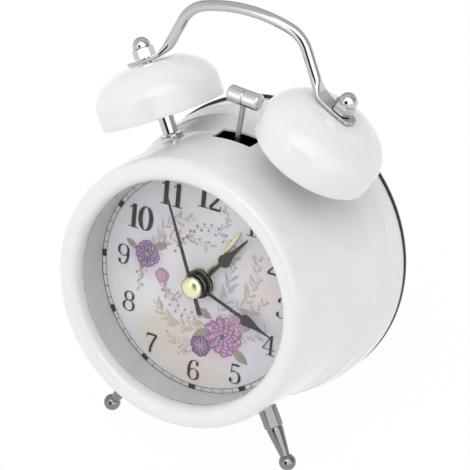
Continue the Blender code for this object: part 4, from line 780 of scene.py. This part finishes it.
for side, sign in SIDES:
    outer = dome_line(BELL_RADIUS, BELL_HEIGHT, SEAT_HEIGHT)
    inner = dome_line(BELL_RADIUS - BELL_WALL, BELL_HEIGHT - BELL_WALL, SEAT_HEIGHT - BELL_WALL)
    outline = [(BELL_RADIUS - LIP_ROUND, 0), (BELL_RADIUS - 0.3 * LIP_ROUND, 0.3 * LIP_ROUND),
               (BELL_RADIUS, LIP_ROUND), (BELL_RADIUS, BELL_SKIRT / 2)]
    outline += outer + [(BORE, SEAT_HEIGHT), (BORE, SEAT_HEIGHT - BELL_WALL)] + inner[::-1]
    outline += [(BELL_RADIUS - BELL_WALL, LIP_ROUND), (BELL_RADIUS - BELL_WALL + LIP_ROUND, 0)]
    shape = turned([(radius, RIM + height) for radius, height in outline], 144)
    bell = piece(f"{side}_bell_dome", shape, bell_place(sign), WHITE_ENAMEL)
    settle(bell, "clock_body", "white_enamel", f"{side}_bell")

# Posts, washers and domed nuts: turned steel, chrome plated. The nut clamps the handle's end onto the bell, and
# a thin nut under the case holds the post.
CHROME = surface("chrome", (0.60, 0.60, 0.61), (0.57, 0.57, 0.58), 0.05, 0.09, metallic=1, cloud=120,
                 specks=700, relief=0.01)
TOP = RIM + SEAT_HEIGHT
WASHER_RADIUS, WASHER_HEIGHT, POST_RADIUS, THREAD, ROUND = 3.45, 0.6, 2.25, 1.4, 0.15
NUT_CORNER, NUT_HEIGHT, NUT_TURNS = 3.175, 3, {"left": 35, "right": 0}
NUT_DOME = (2.72, 2.75)
for side, sign in SIDES:
    place = bell_place(sign)
    low = POST_SURFACE + 0.49
    high = low + WASHER_HEIGHT
    washer = turned([(BORE, low), (WASHER_RADIUS - ROUND, low), (WASHER_RADIUS, low + ROUND),
                     (WASHER_RADIUS, high - ROUND), (WASHER_RADIUS - ROUND, high), (BORE, high)], 64)
    settle(piece(f"{side}_base_washer", washer, place, CHROME), "clock_body", "chrome", f"{side}_post_washer")
    foot, shoulder, end = low + 0.9, TOP - 1.1, TOP + 4.6
    post = turned([(0, foot), (POST_RADIUS - ROUND, foot), (POST_RADIUS, foot + ROUND),
                   (POST_RADIUS, shoulder - ROUND), (POST_RADIUS - ROUND, shoulder), (THREAD, shoulder),
                   (THREAD, end), (0, end)], 64)
    settle(piece(f"{side}_post", post, place, CHROME), "clock_body", "chrome", f"{side}_bell_post")
    rest = TOP + 1.6
    hexagon = turned([(0, rest), (NUT_CORNER, rest), (NUT_CORNER, rest + NUT_HEIGHT),
                      (0, rest + NUT_HEIGHT)], 6)
    hexagon.transform(Matrix.Rotation(math.radians(NUT_TURNS[side]), 4, "Z"))
    nut = piece(f"{side}_domed_nut", hexagon, place, CHROME)
    cone = turned([(0, rest - 1), (2.4, rest - 1), (3.3, rest + 0.3), (3.3, rest + 2.5), (2.5, rest + 3.1),
                   (0, rest + 3.1)], 96)
    combined(nut, cone, place, "INTERSECT")
    dome = [(0, rest + 1), (2.4, rest + 1), (2.4, rest + 2.95), (2.65, rest + 3.1)]
    dome += arc((0, rest + 3.3), NUT_DOME, 2, 90, 24)[:-1] + [(0, rest + 6)]
    combined(nut, turned(dome, 96), place, "UNION")
    settle(nut, "clock_body", "chrome", f"{side}_cap_nut")

# Handle: one bright plated rod bent over the bells, with both ends pressed flat and pierced for the posts and
# clamped under the domed nuts.
ROD = 1.6
TAB_WIDTH, TAB_THICKNESS, TAB_CORNER = 6.0, 1.0, 1.9
TAB_OVERHANG = {-1: 5.8, 1: 4.7}
TAB_RISE, TAB_RUN, FLAT_END = 0.8, 6.825, 11.1
HANDLE_SHIFT = 0.575
SHOULDER_IN, SHOULDER_RISE, CROWN_RISE = 13.575, 18.9, 5.35
BEND_RADII, BEND_STEPS, SPACING = (11, 10.5, 48, 9.5, 10), 16, 0.8


def bent_path(corners, bends, steps):
    """Points along straight runs joined by arcs: one bend radius for each inner corner."""
    points = [corners[0]]
    for before, corner, after, radius in zip(corners, corners[1:], corners[2:], bends):
        to_start = (before - corner).normalized()
        to_end = (after - corner).normalized()
        half = to_start.angle(to_end) / 2
        start = corner + to_start * radius / math.tan(half)
        centre = corner + (to_start + to_end).normalized() * radius / math.sin(half)
        turn = (start - centre).cross(corner - start)
        points += [centre + Matrix.Rotation((math.pi - 2 * half) * i / steps, 3, turn) @ (start - centre)
                   for i in range(steps + 1)]
    return points + [corners[-1]]


def dense(points, spacing):
    """The path with its straight runs divided."""
    closer = []
    for start, end in zip(points, points[1:]):
        count = max(1, round((end - start).length / spacing))
        closer += [start.lerp(end, i / count) for i in range(count)]
    return closer + [points[-1]]


tab_x = BELL_SHIFT + (TOP + TAB_RISE) * math.sin(BELL_TILT)
tab_z = (TOP + TAB_RISE) * math.cos(BELL_TILT)
halves = []
for sign in (-1, 1):
    inward = Vector((-sign * math.cos(BELL_TILT), 0, math.sin(BELL_TILT)))
    seat = Vector((sign * tab_x, 0, tab_z))
    shoulder = Vector((sign * (tab_x - SHOULDER_IN) - HANDLE_SHIFT, 0, tab_z + SHOULDER_RISE))
    halves.append([seat - inward * TAB_OVERHANG[sign], seat + inward * (TAB_RUN + sign * HANDLE_SHIFT),
                   shoulder])
crown = Vector((-HANDLE_SHIFT, 0, tab_z + SHOULDER_RISE + CROWN_RISE))
path = dense(bent_path(halves[0] + [crown] + halves[1][::-1], BEND_RADII, BEND_STEPS), SPACING)
along = [0]
for start, end in zip(path, path[1:]):
    along.append(along[-1] + (end - start).length)
shape = bmesh.new()
rings = []
RING_POINTS = 32
for i, point in enumerate(path):
    near = min(along[i], along[-1] - along[i])
    mix = min(max((near - FLAT_END) / TAB_WIDTH, 0), 1)
    mix = mix * mix * (3 - 2 * mix)
    half_width = TAB_WIDTH / 2 * (1 - mix) + ROD * mix
    half_thickness = TAB_THICKNESS / 2 * (1 - mix) + ROD * mix
    if near < TAB_CORNER:
        half_width -= TAB_CORNER - math.sqrt(TAB_CORNER ** 2 - (TAB_CORNER - near) ** 2)
    forward = (path[min(i + 1, len(path) - 1)] - path[max(i - 1, 0)]).normalized()
    rise = forward.cross(Vector((0, 1, 0)))
    square = 0.3 + 0.7 * mix
    ring = []
    for k in range(RING_POINTS):
        angle = math.tau * (k + 0.5) / RING_POINTS
        wide = math.copysign(abs(math.cos(angle)) ** square, math.cos(angle))
        high = math.copysign(abs(math.sin(angle)) ** square, math.sin(angle))
        ring.append(shape.verts.new(point + Vector((0, half_width * wide, 0)) + rise * half_thickness * high))
    rings.append(ring)
for first, second in zip(rings, rings[1:]):
    for k in range(RING_POINTS):
        shape.faces.new((first[k - 1], first[k], second[k], second[k - 1]))
shape.faces.new(rings[0])
shape.faces.new(rings[-1])
handle = piece("handle_rod", shape, Matrix.Translation((0, BELL_PLANE, 0)), CHROME)
settle(handle, "clock_body", "chrome", "carrying_handle")

# Hammer: a turned steel barrel with a groove round its middle, pressed on a thin flat arm of duller steel. The
# arm hangs on a pin inside the case and swings the barrel between the bells.
SATIN_STEEL = surface("satin_steel", (0.72, 0.72, 0.73), (0.68, 0.68, 0.69), 0.18, 0.22, metallic=1, cloud=40,
                      specks=400, relief=0.001)
ARM_STEEL = surface("arm_steel", (0.36, 0.36, 0.365), (0.31, 0.31, 0.315), 0.3, 0.36, metallic=1, cloud=80,
                    relief=0.01)
HAMMER_PIVOT, HAMMER_LEAN, HAMMER_REACH = (-1.1, BELL_PLANE, 23.5), math.radians(4.8), 29.4
BARREL_HALF, BARREL_RADIUS, BARREL_SHIFT, BARREL_ROUND = 5.05, 2.5, 0.1, 0.7
ARM_HALF_WIDTH, ARM_HALF_SHEET = 0.75, 0.4
EYE_BORE, EYE_RADIUS = 1.3, 2.6
hammer_place = Matrix.Translation(HAMMER_PIVOT) @ Matrix.Rotation(HAMMER_LEAN, 4, "Y")
half = arc((BARREL_RADIUS - BARREL_ROUND, BARREL_HALF - BARREL_ROUND), (BARREL_ROUND, BARREL_ROUND), 90, 0, 8)
half += [(BARREL_RADIUS, 4.25), (BARREL_RADIUS, 0.3), (2.42, 0.22), (2.1, 0.2), (2.1, 0)]
half = [(0, BARREL_HALF)] + half
barrel = half + [(radius, -reach) for radius, reach in reversed(half[:-1])]
head_place = (hammer_place @ Matrix.Translation((BARREL_SHIFT, 0, HAMMER_REACH))
              @ Matrix.Rotation(math.radians(90), 4, "Y"))
head = piece("hammer_barrel", turned(barrel, 72), head_place, SATIN_STEEL, 30)
settle(head, "hammer", "satin_steel", "hammer_head")
strip = block((-ARM_HALF_WIDTH, -ARM_HALF_SHEET, EYE_RADIUS - 0.2),
              (ARM_HALF_WIDTH, ARM_HALF_SHEET, HAMMER_REACH - BARREL_RADIUS + 0.2))
arm = piece("hammer_strip", strip, hammer_place, ARM_STEEL)
bevelled(arm, 0.12)
eye = turned([(EYE_BORE, -ARM_HALF_SHEET), (EYE_RADIUS, -ARM_HALF_SHEET), (EYE_RADIUS, ARM_HALF_SHEET),
              (EYE_BORE, ARM_HALF_SHEET)], 40)
combined(arm, eye, hammer_place @ FACE, "UNION")
settle(arm, "hammer", "satin_steel", "hammer_arm")

# Feet: turned steel legs in a dark nickel finish, each with a hexagonal collar against the case and a ball end
# that is ground flat where it stands.
NICKEL = surface("nickel", (0.27, 0.27, 0.275), (0.23, 0.23, 0.235), 0.11, 0.18, metallic=1, cloud=120)
SPLAY, RAKE = math.radians(31.1), math.radians(2)
LEG_ROOT, LEG_DEPTH = 40.57, 18.6
COLLAR_CORNER, COLLAR_TURN = 2.85, math.radians(17)
BALL_CENTRE, BALL_SIZE = 17.7, 2.5
for side, sign in SIDES:
    root = Vector((sign * math.sin(SPLAY), 0, -math.cos(SPLAY))) * LEG_ROOT + Vector((0, LEG_DEPTH, 0))
    way = Vector((sign * math.sin(SPLAY) * math.cos(RAKE), -math.sin(RAKE), -math.cos(SPLAY) * math.cos(RAKE)))
    place = Matrix.Translation(root) @ Vector((0, 0, 1)).rotation_difference(way).to_matrix().to_4x4()
    collar = turned([(0, 0.2), (COLLAR_CORNER, 0.2), (COLLAR_CORNER, 6.8), (0, 6.8)], 6)
    collar.transform(Matrix.Rotation(COLLAR_TURN, 4, "Z"))
    leg = piece(f"{side}_leg", collar, place, NICKEL)
    bevelled(leg, 0.3)
    shank = [(0, 3), (2.35, 3), (2.35, 7.1), (2.45, 7.3), (2.45, 7.7)]
    shank += arc((0, BALL_CENTRE), (BALL_SIZE, BALL_SIZE), -54.5, 90, 20)[:-1] + [(0, BALL_CENTRE + BALL_SIZE)]
    combined(leg, turned(shank, 64), place, "UNION")
    combined(leg, block((-60, -60, -9), (60, 60, 0)), CLOCK.inverted() @ Matrix.Scale(0.001, 4), "DIFFERENCE")
    settle(leg, "clock_body", "nickel", f"{side}_foot")

# Rear cover: a black moulded plate with a bevelled rim, two round wells for the knobs, a slot for the switch
# and a shallow bay for the battery door. Small raised arrows beside the wells show the ways to turn.
BLACK_PLASTIC = surface("black_plastic", (0.020, 0.020, 0.021), (0.014, 0.014, 0.015), 0.36, 0.5, cloud=90,
                        specks=3200, relief=0.35)
REAR = 53.7
PLATE = REAR - 1.6
OUTSIDE = REAR + 2
plate = turned([(0, REAR), (41.6, REAR), (41.9, REAR - 0.25), (42.5, REAR - 0.25), (42.8, REAR), (43.6, REAR),
                (44.2, REAR - 0.35), (44.75, REAR - 1.1), (44.8, 51.75), (43.6, 51.75), (43.6, 47.5),
                (42.3, 47.5), (42.3, PLATE), (0, PLATE)], 160)
RIM_OFFSET, RIM_INSIDE, RIM_FRONT = Vector((0.2, 0.36, 0)), 43.4, 51.5
for vert in plate.verts:
    if vert.co.z > RIM_FRONT and math.hypot(vert.co.x, vert.co.y) > RIM_INSIDE:
        vert.co -= RIM_OFFSET
cover = piece("rear_plate", plate, FACE, BLACK_PLASTIC)
BAY_WALL, SEAT_WALL = ((-28.55, 9.0, 35.8), (28.55, 27.0, 53.0)), ((-30.25, 7.3, 50.8), (30.25, 28.7, 52.9))
for low, high in (BAY_WALL, SEAT_WALL):
    combined(cover, block(low, high), FACE, "UNION")
KNOBS = [(name, FACE @ Matrix.Translation((x, -8, 0))) for name, x in (("time", -14), ("alarm", 14))]
WELL_RADIUS, WELL_FLOOR, CUP_WALL = 8.0, 49.7, 1.2
CUP_RADIUS, CUP_FLOOR = WELL_RADIUS + CUP_WALL, WELL_FLOOR - CUP_WALL
for name, at in KNOBS:
    cup = turned([(0, CUP_FLOOR), (CUP_RADIUS, CUP_FLOOR), (CUP_RADIUS, PLATE + 0.5), (0, PLATE + 0.5)], 72)
    combined(cover, cup, at, "UNION")
for name, at in KNOBS:
    lip = turned([(7.9, REAR - 0.5), (9.0, REAR - 0.5), (9.0, REAR + 0.35), (8.7, REAR + 0.6),
                  (8.2, REAR + 0.6), (7.9, REAR + 0.35)], 72)
    combined(cover, lip, at, "UNION")
    well = turned([(0, WELL_FLOOR), (WELL_RADIUS - 0.3, WELL_FLOOR), (WELL_RADIUS, WELL_FLOOR + 0.3),
                   (WELL_RADIUS, OUTSIDE), (0, OUTSIDE)], 72)
    combined(cover, well, at, "DIFFERENCE")
    combined(cover, turned([(0, 46), (1.8, 46), (1.8, REAR), (0, REAR)], 24), at, "DIFFERENCE")
BAY, DOOR_SEAT = ((-27.35, 10.2, 37.0), (27.35, 25.8, OUTSIDE)), ((-29.05, 8.5, 52.0), (29.05, 27.5, OUTSIDE))
SWITCH_SLOT, THUMB_NOTCH = ((-5.5, -29, 49), (5.5, -25, OUTSIDE)), ((-3.5, 7.4, REAR - 0.7), (3.5, 9, OUTSIDE))
for low, high in (BAY, DOOR_SEAT, SWITCH_SLOT, THUMB_NOTCH):
    combined(cover, block(low, high), FACE, "DIFFERENCE")
SCREW_CIRCLE = 35.5
SCREWS = []
for angle in (65, 180, 295):
    x, y = SCREW_CIRCLE * math.sin(math.radians(angle)), -SCREW_CIRCLE * math.cos(math.radians(angle))
    SCREWS.append(FACE @ Matrix.Translation((x, y, 0)))
for at in SCREWS:
    combined(cover, turned([(0, 49), (1.4, 49), (1.4, OUTSIDE), (0, OUTSIDE)], 24), at, "DIFFERENCE")
bevelled(cover, 0.14, 2, 50)
settle(cover, "clock_body", "black_plastic", "rear_cover")
ARROW_LOW, ARROW_HIGH = REAR - 0.2, REAR + 0.18
for name, at in KNOBS:
    for side, sign in SIDES:
        start, end = -90 + sign * 24, -90 + sign * 62
        bow = arc((0, 0), (11.2, 11.2), start, end, 12) + arc((0, 0), (10.6, 10.6), end, start, 12)
        barb, tip = math.radians(end), math.radians(end + sign * 13)
        head = [(away * math.cos(a), away * math.sin(a)) for away, a in ((9.8, barb), (12, barb), (10.9, tip))]
        arrow = piece(f"{name}_arrow_{side}", extruded(bow, ARROW_LOW, ARROW_HIGH), at, BLACK_PLASTIC)
        combined(arrow, extruded(head, ARROW_LOW, ARROW_HIGH), at, "UNION")
        settle(arrow, "clock_body", "black_plastic")


# Setting knobs: black moulded buttons with a ring of grip ribs, a dished face and a stem that goes into the
# movement.
def ribs_tree():
    """Upright ribs round a circle."""
    tree = bpy.data.node_groups.new("knob_ribs", "GeometryNodeTree")
    inputs_of(tree, "Float", {"Radius": 5.8, "Rib Radius": 0.42, "Rib Length": 5.0, "Height": 53.0})
    inputs_of(tree, "Int", {"Count": 18})
    inputs_of(tree, "Material", {"Finish": BLACK_PLASTIC})
    tree.interface.new_socket("Geometry", in_out="OUTPUT", socket_type="NodeSocketGeometry")
    given = add(tree, "NodeGroupInput").outputs
    circle = add(tree, "GeometryNodeMeshCircle", {"Vertices": given["Count"], "Radius": given["Radius"]})
    rib = add(tree, "GeometryNodeMeshCylinder", {"Vertices": 10, "Radius": given["Rib Radius"],
                                                 "Depth": given["Rib Length"]})
    placed = add(tree, "GeometryNodeInstanceOnPoints", {"Points": circle.outputs["Mesh"],
                                                        "Instance": rib.outputs["Mesh"]})
    lift = add(tree, "ShaderNodeCombineXYZ", {"Z": given["Height"]})
    raised = add(tree, "GeometryNodeTransform", {"Geometry": placed.outputs[0], "Translation": lift.outputs[0]})
    end_tree(tree, raised.outputs[0], given["Finish"])
    return tree


KNOB_RIBS = ribs_tree()
GRIP_SIZES = {"Radius": 5.75, "Rib Length": 5.4, "Height": 53.2, "Count": 24}
for name, at in KNOBS:
    body = f"{name}_setting_knob"
    outline = [(0, 50.1), (5.6, 50.1), (5.8, 50.3), (5.8, 55.9), (5.4, 56.5), (4.6, 56.7), (4.2, 56.6),
               (3.6, 56.1), (0, 55.9)]
    button = piece(f"{name}_button", turned(outline, 72), at, BLACK_PLASTIC)
    settle(button, body, "black_plastic", f"{name}_knob")
    settle(grown(f"{name}_grip", KNOB_RIBS, GRIP_SIZES, at, BLACK_PLASTIC), body, "black_plastic")
    stem = turned([(0, 26.7), (1.4, 26.7), (1.5, 26.9), (1.5, 50.2), (0, 50.2)], 32)
    settle(piece(f"{name}_stem", stem, at, BLACK_PLASTIC), body, "black_plastic")

# Alarm switch: a pale moulded slide with three grip ribs, held behind the cover by its wider plate. It slides
# sideways in its slot.
WHITE_PLASTIC = surface("white_plastic", (0.72, 0.72, 0.70), (0.66, 0.66, 0.64), 0.35, 0.45, cloud=100,
                        specks=2200, relief=0.12)
at = FACE @ Matrix.Translation((-2, -27, 0))
thumb = piece("switch_thumb", block((-2.5, -1.7, 50.1), (2.5, 1.7, 54.9)), at, WHITE_PLASTIC)
combined(thumb, block((-4.5, -3.7, 49.8), (4.5, 3.7, 51.8)), at, "UNION")
for x in (-1.3, 0, 1.3):
    combined(thumb, block((x - 0.28, -1.4, 54.5), (x + 0.28, 1.4, 55.3)), at, "UNION")
bevelled(thumb, 0.15, 2)
settle(thumb, "alarm_slide_switch", "white_plastic", "alarm_switch")

# Battery door: a black lid hinged along its lower edge, with a ribbed patch for the thumb at the top and a
# raised frame round its face.
LID_HALF, LID_REACH, LID_ROUND = 28.75, 17.7, 0.7
hinge_at = FACE @ Matrix.Translation((0, 26.5, 53.0))
section = arc((0, 0), (LID_ROUND, LID_ROUND), -90, 90, 10) + [(-LID_REACH, LID_ROUND), (-LID_REACH, -LID_ROUND)]
lid = extruded(section, -LID_HALF, LID_HALF)
bmesh.ops.rotate(lid, verts=lid.verts, cent=(0, 0, 0), matrix=Matrix(((0, 0, 1), (1, 0, 0), (0, 1, 0))))
door = piece("battery_lid", lid, hinge_at, BLACK_PLASTIC)
combined(door, block((-26.5, -15.6, 0.45), (26.5, -1.8, 2)), hinge_at, "DIFFERENCE")
for i in range(5):
    y = -14.9 + 1.3 * i
    combined(door, block((-6, y - 0.3, 0), (6, y + 0.3, 1.05)), hinge_at, "UNION")
bevelled(door, 0.12, 2, 50)
settle(door, "battery_door", "black_plastic", "battery_door")

# Cover screws: three domed steel screws with a cross recess and a dark nickel finish, driven in from behind to
# hold the rear cover.
seat = REAR + 0.3
outline = [(0, 44.7), (0.7, 44.7), (1.1, 45.3), (1.1, seat), (2.3, seat), (2.4, seat + 0.15),
           (2.25, seat + 0.65), (1.7, seat + 1.05), (0.9, seat + 1.2), (0, seat + 1.22)]
for number, at in enumerate(SCREWS, 1):
    screw = piece(f"rear_screw_{number}", turned(outline, 40), at, NICKEL)
    for half_x, half_y in ((1.25, 0.24), (0.24, 1.25)):
        cross = block((-half_x, -half_y, seat + 0.35), (half_x, half_y, seat + 2))
        combined(screw, cross, at @ Matrix.Rotation(0.4 * number, 4, "Z"), "DIFFERENCE")
    settle(screw, "clock_body", "nickel", f"cover_screw_{number}")

# Battery: one AA cell in a printed film sleeve of two colours, across the bay behind its door. A button at one
# end and a plain disc at the other meet the two contacts.
BATTERY_WRAP = surface("battery_wrap", (0.05, 0.12, 0.24), (0.03, 0.08, 0.18), 0.24, 0.34, cloud=90,
                       relief=0.04, coat=0.4)
COPPER_BAND = (0.60, 0.36, 0.14, 1)
tree = BATTERY_WRAP.node_tree
where = add(tree, "ShaderNodeTexCoord").outputs["Object"]
across = add(tree, "ShaderNodeSeparateXYZ", {0: where}).outputs["X"]
band = ranged(tree, across, (0.0148, 0.0152), (0, 1))
two_tone = laid_over(tree, band, tree.nodes["colour"].outputs["Result"], COPPER_BAND)
feed(tree, tree.nodes["Principled BSDF"], {"Base Color": two_tone})
bay = FACE @ Matrix.Translation((0, 18, 44.5)) @ Matrix.Rotation(math.radians(90), 4, "Y")
cell = [(0, 26.35), (2.5, 26.35), (2.7, 26.15), (2.7, 25.1), (6.3, 25.05), (6.8, 25.0), (7.2, 24.6),
        (7.2, -23.5), (6.8, -23.95), (6.0, -23.95), (5.8, -23.7), (0, -23.7)]
settle(piece("aa_cell", turned(cell, 64), bay, BATTERY_WRAP), "clock_body", "battery_wrap", "battery")

# Works inside the case: the quartz movement, its frame, pipes and nuts, the hammer's drive and motor and the
# two contacts keep their solids, in moulded black plastic, brass, steel and nickel.
FINISHES = {"black_plastic": BLACK_PLASTIC, "nickel": NICKEL, "brass": BRASS, "satin_steel": SATIN_STEEL,
            "chrome": CHROME, "white_enamel": WHITE_ENAMEL, "grey_plastic": GREY_PLASTIC,
            "white_plastic": WHITE_PLASTIC}
for entry in frame["record"]["subparts"]:
    if entry["material_slot"] in FINISHES:
        for place in frame["nodes"][entry["node"]].material_slots:
            place.material = FINISHES[entry["material_slot"]]


# Stage: a plain white floor and soft studio light, seen from the photograph's side. The bright metal also sees
# a light tent: white screens beside the camera with a dark gap between them, and pale grey cloth further round.
def pale_seen(tree):
    """Ones for the camera's rays, and for all that see the white background: glossy and transmission too."""
    path = add(tree, "ShaderNodeLightPath").outputs
    either = reckoned(tree, "MAXIMUM", path["Is Camera Ray"], path["Is Glossy Ray"])
    return path["Is Camera Ray"], reckoned(tree, "MAXIMUM", either, path["Is Transmission Ray"])


FLOOR_PAPER, tree = new_finish("floor_paper")
paper = feed(tree, tree.nodes["Principled BSDF"], {"Base Color": (0.96, 0.96, 0.96, 1), "Roughness": 0.8})
glow = add(tree, "ShaderNodeEmission")
camera_ray, seen = pale_seen(tree)
mixed = add(tree, "ShaderNodeMixShader", {"Fac": reckoned(tree, "MULTIPLY", seen, 0.975), 1: paper.outputs[0],
                                          2: glow.outputs[0]})
feed(tree, tree.nodes["Material Output"], {"Surface": mixed.outputs[0]})
ground = bpy.data.meshes.new("floor")
ground.from_pydata([(-3, -3, 0), (3, -3, 0), (3, 3, 0), (-3, 3, 0)], [], [(0, 1, 2, 3)])
ground.materials.append(FLOOR_PAPER)
shown("floor", ground)

world = bpy.data.worlds.new("studio")
world.use_nodes = True
bpy.context.scene.world = world
tree = world.node_tree
way = add(tree, "ShaderNodeSeparateXYZ", {0: add(tree, "ShaderNodeTexCoord").outputs["Generated"]}).outputs
heading = reckoned(tree, "ARCTAN2", way["Y"], way["X"])
room = feed(tree, tree.nodes["Background"], {"Color": (1, 1, 1, 1),
                                             "Strength": ranged(tree, way["X"], (-1, 1), (0.96, 0.69))})


def screen(tree, socket, centre, half, soft):
    """One inside a band of headings or heights, falling to nothing over its soft edges."""
    away = reckoned(tree, "ABSOLUTE", reckoned(tree, "SUBTRACT", socket, centre))
    return ranged(tree, away, (half + soft, half - soft), (0, 1), "SMOOTHSTEP")


# Each screen's grey, then the middle, half width and soft edge of its heading, and of its height if it has one.
SCREENS = (
    (1.9, (math.radians(-60), math.radians(58), 0.12), (0.42, 0.5, 0.08)),
    (0.02, (math.radians(-86), math.radians(19), 0.1), (0.0, 0.68, 0.1)),
    (0.2, (math.radians(32), math.radians(8), 0.2), None),
    (0.42, (math.radians(121), math.radians(38), 0.2), (0.40, 0.2, 0.1)),
)
tent = (0.70, 0.70, 0.70, 1)
for grey, headings, heights in SCREENS:
    share = screen(tree, heading, *headings)
    if heights:
        share = reckoned(tree, "MULTIPLY", share, screen(tree, way["Z"], *heights))
    tent = laid_over(tree, share, tent, (grey, grey, grey, 1))
camera_ray, seen = pale_seen(tree)
backdrop = add(tree, "ShaderNodeBackground", {"Color": laid_over(tree, camera_ray, tent, (1, 1, 1, 1))})
mixed = add(tree, "ShaderNodeMixShader", {"Fac": seen, 1: room.outputs[0], 2: backdrop.outputs[0]})
feed(tree, tree.nodes["World Output"], {"Surface": mixed.outputs[0]})


def lamp(name, place, size, power):
    """A square soft lamp that looks at the middle of the clock."""
    light = bpy.data.lights.new(name, "AREA")
    light.size = size
    light.energy = power
    stand = shown(name, light)
    stand.location = place
    stand.rotation_euler = (CLOCK_MIDDLE - Vector(place)).to_track_quat("-Z", "Y").to_euler()


CLOCK_MIDDLE = Vector((0, 0, 0.06))
lamp("key", (0.2, -0.5, 1.0), 0.8, 2.7)
lamp("fill", (-0.9, -0.6, 0.35), 1.0, 0.4)

camera = bpy.data.cameras.new("camera")
camera.lens = 200.419
camera.sensor_width = 36
camera.clip_end = 10
viewer = shown("camera", camera)
viewer.location = (0.33093714, -0.53830488, 0.46556176)
viewer.rotation_euler = [math.radians(turn) for turn in (57.32292604, 1.18467707, 30.59006276)]
bpy.context.scene.camera = viewer
bpy.context.scene.view_settings.view_transform = "Standard"
